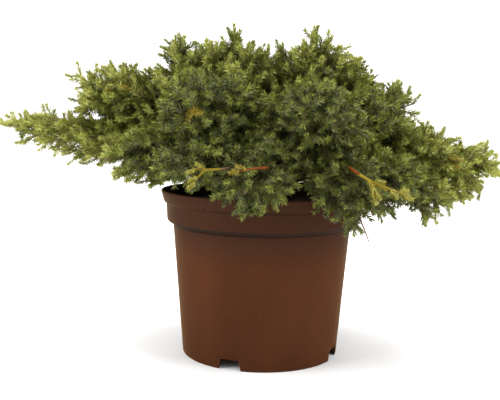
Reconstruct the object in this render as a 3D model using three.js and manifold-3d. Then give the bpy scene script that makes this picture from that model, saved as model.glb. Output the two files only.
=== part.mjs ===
// A spreading dwarf juniper in a plastic nursery pot, in millimetres, +Z up.
// The origin is the middle of the pot's flat underside, and -Y is the front.
//
// The plant is one short leaning trunk, a bough for each mass of foliage, and the masses.
// Each mass keeps to its own egg-shaped space. In it a stem runs on from the bough, twigs fan
// out from the stem to evenly spread points of the egg, and each twig ends in a toothed blade,
// which is the outline of a spray of needles. A small core fills the dense inside of the mass.
import * as THREE from "three";
import { mergeVertices } from "three/addons/utils/BufferGeometryUtils.js";
import Module from "manifold-3d";

const wasm = await Module();
wasm.setup();

// ---- driving dimensions ----

const CLEARANCE = 0.3; // between neighbouring solids
const GRID = 0.05; // corners of joined and cut solids are rounded to this

// The pot: a tapered wall, a wider band round the top, and a flared lip on the band.
const POT = {
  height: 154,
  rimRadius: 95, // outside of the lip at its top
  lipRadius: 92, // outside of the lip at its foot
  lipHeight: 11,
  bandRadius: 90, // outside of the band at its top
  bandTaper: 0.8, // how much smaller it is at its foot
  bandHeight: 27, // from the rim down to the shoulder
  shoulder: 6, // how far the rounded shoulder reaches down
  neckRadius: 83.3, // outside of the wall under the shoulder
  footRadius: 73.4, // outside of the wall at the ground
  wall: 1.7,
  baseHeight: 10.5, // underside of the raised drainage ring
  discRadius: 40, // the flat middle of the base, which stands on the ground
  sides: 36,
};

// Four drainage notches in the foot of the wall.
const NOTCH = {
  count: 4,
  firstAngle: -111, // of the middle of the first one, in degrees from +X
  bottomWidth: 24,
  topWidth: 19.5,
  height: 9.5,
  overshoot: 1, // the cutter reaches this far below the ground
  cutFrom: 60, // radii between which the cutter works
  cutTo: 78,
};

const SOIL_TOP = 142;
const SOIL_MOUND = 1.5; // how much the compost drops towards the pot's wall

const TRUNK = {
  top: 196,
  lean: [7, 4], // how far the top stands from the foot, in x and y
  footRadius: 9,
  topRadius: 6.5,
  flareRadius: 7, // what the root flare adds at the ground
  flareHeight: 9,
  flareLobes: 5,
  sides: 15,
  steps: 7,
};

const BOUGH = {
  baseRadius: 2.9,
  tipRadius: 1.6,
  lowestBase: 154, // height at which the lowest bough leaves the trunk
  highestBase: 191,
  sides: 5,
  steps: 4,
  sag: 0.1, // how far the middle of a bough hangs, as a share of its length
};

const MASS = {
  stemSides: 3,
  stemSteps: 4,
  stemTip: 0.93, // how far along its axis the stem ends
  stemBend: 0.35, // how far it keeps to the bough's direction, as a share of its length
  stemTipRadius: 0.7,
  areaPerTwig: 2300, // square millimetres of the egg's surface
  backShare: -0.8, // no twig points further back towards the bough than this cosine
  lean: 0.8, // how far behind its own tip a twig leaves the stem, in side radii
  shortest: 0.88, // twig tips lie between this share of the egg and its surface
  footRange: [0.06, 0.97], // the stretch of the stem that bears twigs
  twigRadius: 1, // half its width where it leaves the stem
  core: 0.38, // radii of the core, as a share of the egg's
  coreShift: 0.06, // how far the core lies ahead of the egg's middle
  coreStep: 0.04, // a corner of the core is drawn in by this at a time
  cellGap: 0.05, // two masses keep this far apart, in shares of their radii
  limbGap: 1.2,
  potGap: 1.5,
  drawnIn: [0, 0.1, 0.2, 0.3], // how far a twig is drawn in, step by step, before it is left out
  bladeDrawnIn: 1.5, // how much faster its blade gets shorter
  smallest: 0.5, // edges shorter than this are drawn together
};

// A spray: a toothed blade that narrows to its twig. The outline is half of it, from foot to tip,
// as shares of its length and half width. The twig runs on from there to the stem.
const SPRAY = {
  length: [38, 48],
  width: 0.75, // of its length
  thickness: 0.1, // of its length, at its middle
  middle: 0.5,
  longest: 0.8, // of the way from the stem to the twig's tip
  twist: 1.1, // how far its flat may turn from facing outwards, in radians
  outline: [
    [0.42, 1],
    [0.47, 0.36],
    [0.74, 0.68],
  ],
};

// Where each mass starts (foot, at its bough's tip) and its furthest tip, and the half width and
// half height of its egg. x is to the right, y to the back.
const MASSES = {
  left_arm: { foot: [-84, 0, 185], tip: [-256, 4, 211], spread: 46, rise: 26 },
  left_upper: { foot: [-60, 18, 211], tip: [-191, 22, 250], spread: 50, rise: 42 },
  left_front: { foot: [-56, -40, 191], tip: [-142, -72, 183], spread: 46, rise: 29 },
  left_back: { foot: [-60, 50, 196], tip: [-168, 124, 206], spread: 58, rise: 40 },
  back_left: { foot: [-28, 68, 194], tip: [-74, 190, 185], spread: 64, rise: 46 },
  back_right: { foot: [32, 66, 194], tip: [84, 182, 178], spread: 64, rise: 46 },
  right_back: { foot: [62, 34, 195], tip: [184, 84, 194], spread: 54, rise: 35 },
  right_arm: { foot: [76, -6, 184], tip: [226, -12, 174], spread: 54, rise: 40 },
  right_front: { foot: [62, -40, 186], tip: [165, -84, 147], spread: 46, rise: 31 },
  front_right: { foot: [46, -54, 187], tip: [91, -132, 145], spread: 37, rise: 33 },
  front_middle: { foot: [-2, -52, 194], tip: [-14, -148, 163], spread: 44, rise: 38 },
  front_left: { foot: [-32, -50, 194], tip: [-67, -136, 180], spread: 46, rise: 30 },
  brow_left: { foot: [-24, -28, 208], tip: [-66, -116, 236], spread: 56, rise: 46 },
  brow_right: { foot: [22, -30, 206], tip: [60, -116, 220], spread: 56, rise: 48 },
  top_left: { foot: [-26, 8, 212], tip: [-95, 2, 291], spread: 50, rise: 50 },
  top_middle: { foot: [-8, 4, 216], tip: [-32, 2, 304], spread: 46, rise: 50 },
  top_right: { foot: [18, -5, 214], tip: [66, -6, 304], spread: 37, rise: 50 },
  shoulder_right: { foot: [34, 6, 208], tip: [112, 6, 268], spread: 50, rise: 46 },
  right_upper: { foot: [50, -12, 200], tip: [143, -20, 240], spread: 48, rise: 42 },
  back_upper: { foot: [2, 36, 214], tip: [4, 120, 256], spread: 76, rise: 50 },
};

const SEED = 41;
const GOLDEN_ANGLE = Math.PI * (3 - Math.sqrt(5));

// ---- colours ----

const finish = (color, roughness) => new THREE.MeshStandardMaterial({ color, roughness, metalness: 0 });
const FINISH = {
  pot: finish(0x5a3523, 0.45),
  soil: finish(0x1d1712, 1),
  bark: finish(0x6b3f28, 0.85),
  foliage: finish(0x66702f, 0.6),
};

// ---- small helpers ----

const vector = (xyz) => new THREE.Vector3(...xyz);
const radians = THREE.MathUtils.degToRad;

// A repeatable stream of numbers from 0 to 1.
function seededDraws(seed) {
  let state = seed >>> 0;
  return () => {
    state = (state + 0x6d2b79f5) >>> 0;
    let mixed = Math.imul(state ^ (state >>> 15), state | 1);
    mixed ^= mixed + Math.imul(mixed ^ (mixed >>> 7), mixed | 61);
    return ((mixed ^ (mixed >>> 14)) >>> 0) / 4294967296;
  };
}

// A geometry with only its corners, each corner once.
function bareGeometry(geometry) {
  const bare = geometry.index ? geometry.toNonIndexed() : geometry.clone();
  bare.deleteAttribute("normal");
  bare.deleteAttribute("uv");
  return mergeVertices(bare, 1e-3);
}

// A closed three.js geometry as a solid that can be joined and cut.
function solidOf(geometry) {
  const bare = bareGeometry(geometry);
  return new wasm.Manifold(
    new wasm.Mesh({
      numProp: 3,
      vertProperties: new Float32Array(bare.attributes.position.array),
      triVerts: new Uint32Array(bare.index.array),
    }),
  );
}

// A solid as a geometry: its corners are rounded to a fine grid, and faces that this closes go.
function geometryOf(solid) {
  const mesh = solid.getMesh();
  const rounded = new THREE.BufferGeometry();
  const positions = Float32Array.from(mesh.vertProperties, (value) => Math.round(value / GRID) * GRID);
  rounded.setAttribute("position", new THREE.BufferAttribute(positions, 3));
  rounded.setIndex(new THREE.BufferAttribute(new Uint32Array(mesh.triVerts), 1));
  const geometry = bareGeometry(rounded);
  const corners = geometry.index.array;
  const kept = [];
  for (let i = 0; i < corners.length; i += 3) {
    const [a, b, c] = corners.slice(i, i + 3);
    if (a !== b && b !== c && c !== a) kept.push(a, b, c);
  }
  geometry.setIndex(kept);
  geometry.computeVertexNormals();
  return geometry;
}

// True when every edge joins exactly two faces and the whole is one body with no hollow.
function isSound(geometry) {
  const corners = bareGeometry(geometry).index.array;
  const edges = new Set();
  for (let i = 0; i < corners.length; i++) {
    const next = i % 3 === 2 ? i - 2 : i + 1;
    edges.add(`${corners[i]} ${corners[next]}`);
  }
  const paired = [...edges].every((edge) => edges.has(edge.split(" ").reverse().join(" ")));
  return paired && edges.size === corners.length && solidOf(geometry).decompose().length === 1;
}

function geometryFrom(points, faces) {
  const geometry = new THREE.BufferGeometry();
  geometry.setAttribute("position", new THREE.Float32BufferAttribute(points.flatMap((p) => p.toArray()), 3));
  geometry.setIndex(faces.flat());
  return geometry;
}

// Rings of points joined into a closed tube. radiusAt(share, angle) is the section's radius.
function taperedLimb(curve, radiusAt, sides, steps) {
  const frames = curve.computeFrenetFrames(steps, false);
  const points = [];
  const faces = [];
  for (let step = 0; step <= steps; step++) {
    const centre = curve.getPointAt(step / steps);
    for (let side = 0; side < sides; side++) {
      const angle = (2 * Math.PI * side) / sides;
      const radius = radiusAt(step / steps, angle);
      points.push(
        centre
          .clone()
          .addScaledVector(frames.normals[step], radius * Math.cos(angle))
          .addScaledVector(frames.binormals[step], radius * Math.sin(angle)),
      );
    }
  }
  for (let step = 0; step < steps; step++) {
    for (let side = 0; side < sides; side++) {
      const a = step * sides + side;
      const b = step * sides + ((side + 1) % sides);
      faces.push([a, b, b + sides], [a, b + sides, a + sides]);
    }
  }
  const last = steps * sides;
  for (let side = 1; side < sides - 1; side++) {
    faces.push([0, side + 1, side], [last, last + side, last + side + 1]);
  }
  return geometryFrom(points, faces);
}

function named(name, geometry, material) {
  const mesh = new THREE.Mesh(geometry, material);
  mesh.name = name;
  return mesh;
}

// ---- pot and compost ----

const SHOULDER_Z = POT.height - POT.bandHeight;
const LIP_FOOT_Z = POT.height - POT.lipHeight;
const NECK_Z = SHOULDER_Z - POT.shoulder;

// Outside radius of the pot at a height, for keeping foliage clear of it.
function potRadiusAt(z) {
  if (z > LIP_FOOT_Z) return POT.rimRadius;
  if (z > NECK_Z) return POT.bandRadius;
  return POT.footRadius + ((POT.neckRadius - POT.footRadius) * z) / NECK_Z;
}

function potSolid() {
  const { height, wall, footRadius, neckRadius, bandRadius, lipRadius, rimRadius, discRadius } = POT;
  const bandFoot = bandRadius - POT.bandTaper;
  const channelTop = POT.baseHeight + wall;
  const profile = [
    [0, 0],
    [discRadius, 0],
    [discRadius + 3, POT.baseHeight],
    [footRadius - 2.6, POT.baseHeight],
    [footRadius - 2.4, 0],
    [footRadius - 0.5, 0],
    [footRadius, 1.2],
    [neckRadius, NECK_Z],
    [neckRadius + 0.9, NECK_Z + 2],
    [bandFoot - 0.9, NECK_Z + 4.2],
    [bandFoot, SHOULDER_Z],
    [bandRadius, LIP_FOOT_Z - 0.8],
    [lipRadius, LIP_FOOT_Z],
    [rimRadius, height - 1.2],
    [rimRadius - 0.4, height],
    [rimRadius - wall, height],
    [lipRadius - wall, LIP_FOOT_Z + 1],
    [bandRadius - wall, LIP_FOOT_Z],
    [bandFoot - wall, SHOULDER_Z + 1.2],
    [neckRadius - wall + 0.4, NECK_Z + 3.4],
    [neckRadius - wall, NECK_Z],
    [footRadius - wall + 0.6, channelTop],
    [discRadius + 3 - wall, channelTop],
    [discRadius - wall, wall],
    [0, wall],
  ].map(([radius, z]) => new THREE.Vector2(radius, z));
  const lathe = new THREE.LatheGeometry(profile, POT.sides).rotateX(Math.PI / 2);
  let pot = solidOf(lathe);
  for (let i = 0; i < NOTCH.count; i++) pot = pot.subtract(notchSolid(i));
  return pot;
}

// A wedge that cuts one drainage notch through the foot of the wall.
function notchSolid(index) {
  const halfTop = NOTCH.topWidth / 2;
  const slope = (NOTCH.bottomWidth / 2 - halfTop) / NOTCH.height;
  const halfBelow = halfTop + slope * (NOTCH.height + NOTCH.overshoot);
  const outline = new THREE.Shape([
    new THREE.Vector2(-halfBelow, -NOTCH.overshoot),
    new THREE.Vector2(halfBelow, -NOTCH.overshoot),
    new THREE.Vector2(halfTop, NOTCH.height),
    new THREE.Vector2(-halfTop, NOTCH.height),
  ]);
  const depth = NOTCH.cutTo - NOTCH.cutFrom;
  const wedge = new THREE.ExtrudeGeometry(outline, { depth, bevelEnabled: false, steps: 1 });
  wedge.rotateX(Math.PI / 2).rotateZ(Math.PI / 2); // widths along y, heights along z, depth along x
  wedge.translate(NOTCH.cutFrom, 0, 0);
  wedge.rotateZ(radians(NOTCH.firstAngle + (360 / NOTCH.count) * index));
  return solidOf(wedge);
}

function soilGeometry() {
  const gap = CLEARANCE + POT.wall;
  const floor = POT.baseHeight + POT.wall + CLEARANCE;
  const profile = [
    [0, POT.wall + CLEARANCE],
    [POT.discRadius - gap, POT.wall + CLEARANCE],
    [POT.discRadius + 3 - gap, floor],
    [POT.footRadius - gap + 0.5, floor],
    [POT.neckRadius - gap, NECK_Z + 3],
    [POT.bandRadius - POT.bandTaper - gap, SHOULDER_Z + 2],
    [POT.bandRadius - POT.bandTaper - gap, SOIL_TOP - SOIL_MOUND],
    [0, SOIL_TOP],
  ].map(([radius, z]) => new THREE.Vector2(radius, z));
  return new THREE.LatheGeometry(profile, POT.sides).rotateX(Math.PI / 2);
}

// ---- trunk and boughs ----

const TRUNK_FOOT = new THREE.Vector3(0, 0, SOIL_TOP + CLEARANCE);
const TRUNK_TIP = new THREE.Vector3(...TRUNK.lean, TRUNK.top);

// The trunk's centreline: upright at the ground, then leaning over.
const trunkLine = new THREE.QuadraticBezierCurve3(
  TRUNK_FOOT,
  new THREE.Vector3(0, 0, (SOIL_TOP + TRUNK.top) / 2),
  TRUNK_TIP,
);

function trunkGeometry(grow) {
  const length = trunkLine.getLength();
  const radiusAt = (share, angle) => {
    const flare = TRUNK.flareRadius * Math.exp(-(share * length) / TRUNK.flareHeight);
    const lobe = 0.65 + 0.35 * Math.cos(TRUNK.flareLobes * angle);
    return TRUNK.footRadius + (TRUNK.topRadius - TRUNK.footRadius) * share + flare * lobe + grow;
  };
  return taperedLimb(trunkLine, radiusAt, TRUNK.sides, TRUNK.steps);
}

// Boughs leave the trunk one above the other, the ones that rise most from the top.
function boughLines() {
  const steepness = (mass) => {
    const foot = vector(mass.foot);
    return (foot.z - SOIL_TOP) / Math.hypot(foot.x, foot.y);
  };
  const order = Object.keys(MASSES).sort((a, b) => steepness(MASSES[a]) - steepness(MASSES[b]));
  const lines = {};
  order.forEach((name, rank) => {
    const share = rank / (order.length - 1);
    const height = BOUGH.lowestBase + (BOUGH.highestBase - BOUGH.lowestBase) * share;
    const start = trunkLine.getPoint((height - SOIL_TOP) / (TRUNK.top - SOIL_TOP));
    const end = vector(MASSES[name].foot);
    const middle = start.clone().lerp(end, 0.5);
    middle.z -= BOUGH.sag * start.distanceTo(end);
    lines[name] = new THREE.QuadraticBezierCurve3(start, middle, end);
  });
  return lines;
}

const boughs = boughLines();

function boughSolid(line, grow) {
  const radiusAt = (share) => BOUGH.baseRadius + (BOUGH.tipRadius - BOUGH.baseRadius) * share + grow;
  return solidOf(taperedLimb(line, radiusAt, BOUGH.sides, BOUGH.steps));
}

// ---- the spaces of the masses ----

// Adds the egg's axes to a mass: forward along the stem, side level, up square to both.
function placed(name, mass, index) {
  const foot = vector(mass.foot);
  const tip = vector(mass.tip);
  const forward = tip.clone().sub(foot).normalize();
  const side = new THREE.Vector3(0, 0, 1).cross(forward).normalize();
  const up = forward.clone().cross(side);
  const half = foot.distanceTo(tip) / 2;
  const middle = foot.clone().lerp(tip, 0.5);
  return { name, index, foot, tip, forward, side, up, half, middle, spread: mass.spread, rise: mass.rise };
}

const masses = Object.entries(MASSES).map(([name, mass], index) => placed(name, mass, index));

// The point at given shares of the egg's three radii.
function pointInEgg(mass, along, across, above) {
  return mass.middle
    .clone()
    .addScaledVector(mass.forward, along * mass.half)
    .addScaledVector(mass.side, across * mass.spread)
    .addScaledVector(mass.up, above * mass.rise);
}

// How far out a point lies in a mass's egg: 0 in its middle, 1 on its surface.
function shareOut(mass, point) {
  const offset = point.clone().sub(mass.middle);
  return Math.hypot(
    offset.dot(mass.forward) / mass.half,
    offset.dot(mass.side) / mass.spread,
    offset.dot(mass.up) / mass.rise,
  );
}

const limbRuns = Object.values(boughs).map((line) => line.getPoints(BOUGH.steps));
limbRuns.push(trunkLine.getPoints(TRUNK.steps));
const segment = new THREE.Line3();
const nearest = new THREE.Vector3();

function distanceToRun(run, point) {
  let least = Infinity;
  for (let i = 1; i < run.length; i++) {
    segment.set(run[i - 1], run[i]).closestPointToPoint(point, true, nearest);
    least = Math.min(least, nearest.distanceTo(point));
  }
  return least;
}

function clearOfLimbs(point) {
  const limbRadius = (i) => (i < limbRuns.length - 1 ? BOUGH.baseRadius : TRUNK.footRadius);
  return limbRuns.every((run, i) => distanceToRun(run, point) > limbRadius(i) + MASS.limbGap);
}

function clearOfPot(point) {
  if (point.z > POT.height + MASS.potGap) return true;
  return Math.hypot(point.x, point.y) > potRadiusAt(point.z) + MASS.potGap && point.z > MASS.potGap;
}

// True where a mass may have leaves: inside its egg, nearer to it than to any other, and clear.
function inOwnSpace(mass, point) {
  const own = shareOut(mass, point);
  if (own > 1) return false;
  const nearestOther = Math.min(...masses.filter((m) => m !== mass).map((m) => shareOut(m, point)));
  return own + MASS.cellGap < nearestOther && clearOfPot(point) && clearOfLimbs(point);
}

// ---- the masses ----

// The stem that runs on from the bough, starting in the bough's own direction.
function stemLine(mass) {
  const onward = boughs[mass.name].getTangent(1);
  const start = mass.foot.clone().addScaledVector(onward, CLEARANCE);
  const end = pointInEgg(mass, 2 * MASS.stemTip - 1, 0, 0);
  const middle = start.clone().addScaledVector(onward, MASS.stemBend * start.distanceTo(end));
  return new THREE.QuadraticBezierCurve3(start, middle, end);
}

// Twigs run from the stem towards points spread evenly over the egg by the golden angle.
// Each is a list of tries, the first with the full reach and the others drawn in.
function twigsOf(mass) {
  const draw = seededDraws(SEED + mass.index);
  const radius = Math.sqrt(mass.spread * mass.rise);
  const count = Math.round((4 * Math.PI * radius * (radius + mass.half)) / 2 / MASS.areaPerTwig);
  const stem = stemLine(mass);
  const twigs = [];
  for (let i = 0; i < count; i++) {
    const along = 1 - ((2 * i + 1) / count) * (0.5 - MASS.backShare / 2);
    const ring = Math.sqrt(1 - along * along);
    const angle = i * GOLDEN_ANGLE + mass.index + 0.5 * (draw() - 0.5);
    const full = MASS.shortest + (1 - MASS.shortest) * draw();
    const longest = SPRAY.length[0] + (SPRAY.length[1] - SPRAY.length[0]) * draw();
    const roll = SPRAY.twist * (draw() - 0.5);
    const behind = (along * mass.half - MASS.lean * radius * ring) / mass.half;
    const foot = stem.getPoint(THREE.MathUtils.clamp((behind + 1) / 2, ...MASS.footRange));
    twigs.push(
      MASS.drawnIn.map((share) => {
        const reach = full * (1 - share);
        const [across, above] = [ring * Math.cos(angle), ring * Math.sin(angle)];
        const tip = pointInEgg(mass, along * reach, across * reach, above * reach);
        const run = foot.distanceTo(tip);
        const length = Math.min(longest * (1 - MASS.bladeDrawnIn * share), SPRAY.longest * run);
        return { foot, tip, run, length, roll };
      }),
    );
  }
  return twigs;
}

// The corners of a twig and its toothed blade, then the blade's two raised middles. The blade
// ends at the twig's tip and its flat faces out from the middle of the mass.
function sprayCorners(mass, twig) {
  const forward = twig.tip.clone().sub(twig.foot).normalize();
  const outward = twig.tip.clone().sub(mass.middle);
  const across = forward.clone().cross(outward).normalize().applyAxisAngle(forward, twig.roll);
  const raised = forward.clone().cross(across);
  const halfWidth = (SPRAY.width * twig.length) / 2;
  const corner = (ahead, out) =>
    twig.tip.clone().addScaledVector(forward, ahead).addScaledVector(across, out);
  const half = SPRAY.outline.map(([along, out]) => [(along - 1) * twig.length, out * halfWidth]);
  half.unshift([-twig.run, MASS.twigRadius]);
  const right = half.map(([ahead, out]) => corner(ahead, out));
  const left = half.map(([ahead, out]) => corner(ahead, -out)).reverse();
  const heart = corner((SPRAY.middle - 1) * twig.length, 0);
  const lift = (SPRAY.thickness * twig.length) / 2;
  return {
    edge: [...right, twig.tip.clone(), ...left],
    middles: [heart.clone().addScaledVector(raised, lift), heart.clone().addScaledVector(raised, -lift)],
  };
}

function spraySolid({ edge, middles }) {
  const count = edge.length;
  const faces = edge.flatMap((_, i) => {
    const next = (i + 1) % count;
    return [
      [next, i, count],
      [i, next, count + 1],
    ];
  });
  return solidOf(geometryFrom([...edge, ...middles], faces));
}

// The core: a ball of few faces, drawn in wherever it would leave the mass's own space.
function coreSolid(mass) {
  const ball = bareGeometry(new THREE.OctahedronGeometry(1, 1));
  ball.rotateX(0.5).rotateY(0.4).rotateZ(mass.index); // no corner lies on the stem
  const corners = ball.attributes.position;
  for (let i = 0; i < corners.count; i++) {
    const way = new THREE.Vector3().fromBufferAttribute(corners, i);
    let size = MASS.core;
    let corner = null;
    do {
      corner = pointInEgg(mass, MASS.coreShift + way.x * size, way.y * size, way.z * size);
      size -= MASS.coreStep;
    } while (size > MASS.coreStep && !inOwnSpace(mass, corner));
    corners.setXYZ(i, corner.x, corner.y, corner.z);
  }
  return solidOf(ball);
}

// The outer body of a solid, with loose scraps and sealed hollows left out.
function largestBody(solid) {
  return solid.decompose().sort((a, b) => b.volume() - a.volume())[0];
}

// A mass: the stem, the core, and each twig with its spray that stays in the mass's space.
// A twig that would leave it, touch what is already placed, or spoil the joined surface is
// drawn in, and left out if that doesn't help.
function massSolid(mass, placedSolids) {
  const stemRadius = (share) => BOUGH.tipRadius + (MASS.stemTipRadius - BOUGH.tipRadius) * share;
  const stem = solidOf(taperedLimb(stemLine(mass), stemRadius, MASS.stemSides, MASS.stemSteps));
  const isClear = (solid) => placedSolids.every((other) => solid.minGap(other, CLEARANCE) >= CLEARANCE);
  let whole = stem.add(coreSolid(mass));
  let joined = whole;
  for (const tries of twigsOf(mass)) {
    for (const twig of tries) {
      const corners = sprayCorners(mass, twig);
      if (!corners.edge.slice(1, -1).every((point) => inOwnSpace(mass, point))) continue;
      const shoot = spraySolid(corners);
      if (!isClear(shoot)) continue;
      const grown = whole.add(shoot);
      const simpler = largestBody(grown.simplify(MASS.smallest));
      if (!isSound(geometryOf(simpler))) continue;
      whole = grown;
      joined = simpler;
      break;
    }
  }
  return joined;
}

// ---- the plant in its pot ----

const plant = new THREE.Group();
const pot = potSolid();
plant.add(named("pot", geometryOf(pot), FINISH.pot));
plant.add(named("soil", soilGeometry(), FINISH.soil));
plant.add(named("trunk", trunkGeometry(0), FINISH.bark));

const placedSolids = [pot, solidOf(soilGeometry()), solidOf(trunkGeometry(0))];
// Each bough is cut back to where it comes clear of the trunk and of the boughs before it.
const wideTrunk = solidOf(trunkGeometry(CLEARANCE));
let takenRoom = wideTrunk.add(wideTrunk.translate([0, 0, CLEARANCE]));
for (const [name, line] of Object.entries(boughs)) {
  const bough = largestBody(boughSolid(line, 0).subtract(takenRoom));
  plant.add(named(`bough_${name}`, geometryOf(bough), FINISH.bark));
  placedSolids.push(bough);
  takenRoom = takenRoom.add(boughSolid(line, CLEARANCE));
}
for (const mass of masses) {
  const foliage = massSolid(mass, placedSolids);
  plant.add(named(`foliage_${mass.name}`, geometryOf(foliage), FINISH.foliage));
  placedSolids.push(foliage);
}

export default plant;
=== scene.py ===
# %% [markdown]
# # A creeping juniper in a nursery pot
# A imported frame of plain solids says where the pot, the compost, the trunk, each bough and each
# mass of foliage stand. This lesson dresses that frame. The pot becomes a finely turned shell,
# the wood gets its bark, and every mass of foliage is grown again by the rule that made its
# solid, carried on to fine twigs, shoots and needles.
# All sizes in the lesson are in millimetres, as on a workshop drawing, and become metres only
# when a mesh is made.

import math

import bmesh
import bpy
import numpy as np
from mathutils import Matrix, Vector, noise


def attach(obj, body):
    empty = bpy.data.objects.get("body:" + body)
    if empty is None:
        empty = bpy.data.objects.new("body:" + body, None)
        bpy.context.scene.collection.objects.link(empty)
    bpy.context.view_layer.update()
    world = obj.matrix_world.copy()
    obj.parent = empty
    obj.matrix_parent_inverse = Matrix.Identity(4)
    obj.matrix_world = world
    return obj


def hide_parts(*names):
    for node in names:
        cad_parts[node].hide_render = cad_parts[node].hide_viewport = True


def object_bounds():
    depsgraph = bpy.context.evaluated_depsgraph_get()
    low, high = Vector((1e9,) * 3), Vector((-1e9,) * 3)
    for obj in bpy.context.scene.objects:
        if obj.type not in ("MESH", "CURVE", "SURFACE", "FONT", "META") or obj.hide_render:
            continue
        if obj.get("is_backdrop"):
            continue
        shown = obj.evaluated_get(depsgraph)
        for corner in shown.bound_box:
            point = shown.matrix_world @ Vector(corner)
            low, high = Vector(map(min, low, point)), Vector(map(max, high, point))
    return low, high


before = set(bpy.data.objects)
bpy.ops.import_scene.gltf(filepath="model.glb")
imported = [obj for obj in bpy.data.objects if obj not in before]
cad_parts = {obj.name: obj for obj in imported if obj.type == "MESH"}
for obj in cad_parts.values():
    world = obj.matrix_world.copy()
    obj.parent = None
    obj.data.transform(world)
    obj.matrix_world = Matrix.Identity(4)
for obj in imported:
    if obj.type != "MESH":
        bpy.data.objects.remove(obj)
frame_low, frame_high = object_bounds()
MM = 0.001

# %% [markdown]
# ## Small helpers for objects and meshes
# A mesh can be built point by point with bmesh, or at once from arrays. Foliage has hundreds of
# thousands of faces, so arrays are the better way here: numpy works out all corners together
# and `foreach_set` hands them to Blender in one go.

# %% Make objects and meshes
def linked(name, data):
    """An object that shows this data, placed in the scene."""
    thing = bpy.data.objects.new(name, data)
    bpy.context.scene.collection.objects.link(thing)
    return thing


def mesh_from_arrays(name, points, faces, finish_of_face, finishes):
    """An object from corners in millimetres and faces that all have the same number of corners."""
    corners = faces.shape[1]
    mesh = bpy.data.meshes.new(name)
    mesh.vertices.add(len(points))
    mesh.vertices.foreach_set("co", (points * MM).astype(np.float32).ravel())
    mesh.loops.add(faces.size)
    mesh.loops.foreach_set("vertex_index", faces.astype(np.int32).ravel())
    mesh.polygons.add(len(faces))
    mesh.polygons.foreach_set("loop_start", np.arange(0, faces.size, corners, dtype=np.int32))
    for finish in finishes:
        mesh.materials.append(finish)
    mesh.polygons.foreach_set("material_index", finish_of_face.astype(np.int32))
    mesh.update(calc_edges=True)
    return linked(name, mesh)


def mesh_from_bmesh(name, solid):
    """An object from a closed bmesh, with all its faces turned outwards."""
    mesh = bpy.data.meshes.new(name)
    bmesh.ops.recalc_face_normals(solid, faces=solid.faces)
    solid.to_mesh(mesh)
    solid.free()
    return linked(name, mesh)


def smooth(mesh):
    """Shades all faces of a mesh smoothly."""
    mesh.polygons.foreach_set("use_smooth", np.ones(len(mesh.polygons), bool))


def ring_quads(rings, sides):
    """The four corners of each face between rings of points, one ring after the other."""
    for ring in range(rings):
        for side in range(sides):
            a, b = ring * sides + side, ring * sides + (side + 1) % sides
            yield a, b, b + sides, a + sides


def tube_faces(rings, sides):
    """Triangles between rings of points, closed at the end by one last point."""
    faces = [face for a, b, c, d in ring_quads(rings, sides) for face in ((a, b, c), (a, c, d))]
    last = rings * sides
    faces += [(last + side, last + (side + 1) % sides, last + sides) for side in range(sides)]
    return np.array(faces)


def repeated(shape, corners, count):
    """The faces of one shape for many copies of it, each with so many corners of its own."""
    return (np.array(shape)[None] + corners * np.arange(count)[:, None, None]).reshape(-1, 3)


def part_of_plant(thing, slot, *nodes):
    """Lets a piece ride with the pot and stand for its solids in the frame."""
    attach(thing, "root")
    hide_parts(*nodes)
    triangles = sum(len(face.vertices) - 2 for face in thing.data.polygons)
    print(f"{thing.name}: {triangles} triangles")
    return thing


# %% [markdown]
# ## Repeatable chance
# A plant needs chance, but the same plant has to grow on every run. A small generator that
# starts from a fixed seed gives the same stream of numbers each time. The first twigs use the
# very generator that made the solids, so they grow in the same places.

# %% Draw repeatable numbers
SEED = 41
WORD = 0xFFFFFFFF
STRIDE = 0x6D2B79F5


def seeded_draws(seed):
    """Yields numbers from 0 to 1, the same ones for the same seed."""
    state = seed & WORD
    while True:
        state = (state + STRIDE) & WORD
        mixed = ((state ^ (state >> 15)) * (state | 1)) & WORD
        mixed ^= (mixed + ((mixed ^ (mixed >> 7)) * (mixed | 61) & WORD)) & WORD
        yield (mixed ^ (mixed >> 14)) / (WORD + 1)


chance = np.random.default_rng(SEED)

# %% [markdown]
# ## Bent lines
# Trunk, boughs, stems and twigs all follow a line that starts one way and ends another. A
# quadratic Bezier curve with three points is the simplest such line.

# %% Measure along bent lines
SHORTEST = 1e-9


def on_line(line, share):
    """The point at a share of the way along a line of three points."""
    start, bend, end = line
    share = np.asarray(share, float)[..., None]
    return (1 - share) ** 2 * start + 2 * share * (1 - share) * bend + share**2 * end


def heading(line, share):
    """The direction of a bent line at a share of the way along it."""
    start, bend, end = line
    share = np.asarray(share, float)[..., None]
    return unit(2 * (1 - share) * (bend - start) + 2 * share * (end - bend))


def unit(ways):
    """The same directions with length 1."""
    return ways / np.maximum(np.linalg.norm(ways, axis=-1, keepdims=True), SHORTEST)


def turned(angle, first, second):
    """Directions turned by an angle from the first direction towards the second."""
    return np.cos(angle)[..., None] * first + np.sin(angle)[..., None] * second


def between(ends, share):
    """The value at a share of the way from one value to another."""
    return ends[0] + (ends[1] - ends[0]) * share


# %% [markdown]
# ## Where everything stands
# These sizes are those of the solids: a short trunk that leans a little, one bough for each mass
# of foliage, and the egg-shaped space of each mass, from its foot at the bough's tip to its
# furthest tip, with half its width and half its height.

# %% Name the sizes of trunk, boughs and masses
SOIL_TOP = 142
CLEARANCE = 0.3
TRUNK_TOP = 196
TRUNK_LINE = np.array([[0, 0, SOIL_TOP + CLEARANCE], [0, 0, 169], [7, 4, TRUNK_TOP]], float)
TRUNK_FOOT_RADIUS = 9
TRUNK_TOP_RADIUS = 6.5
FLARE_RADIUS = 7
FLARE_HEIGHT = 9
FLARE_LOBES = 5
BOUGH_RADII = (2.9, 1.6)
BOUGH_BASES = (154, 191)
BOUGH_SAG = 0.1

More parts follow.
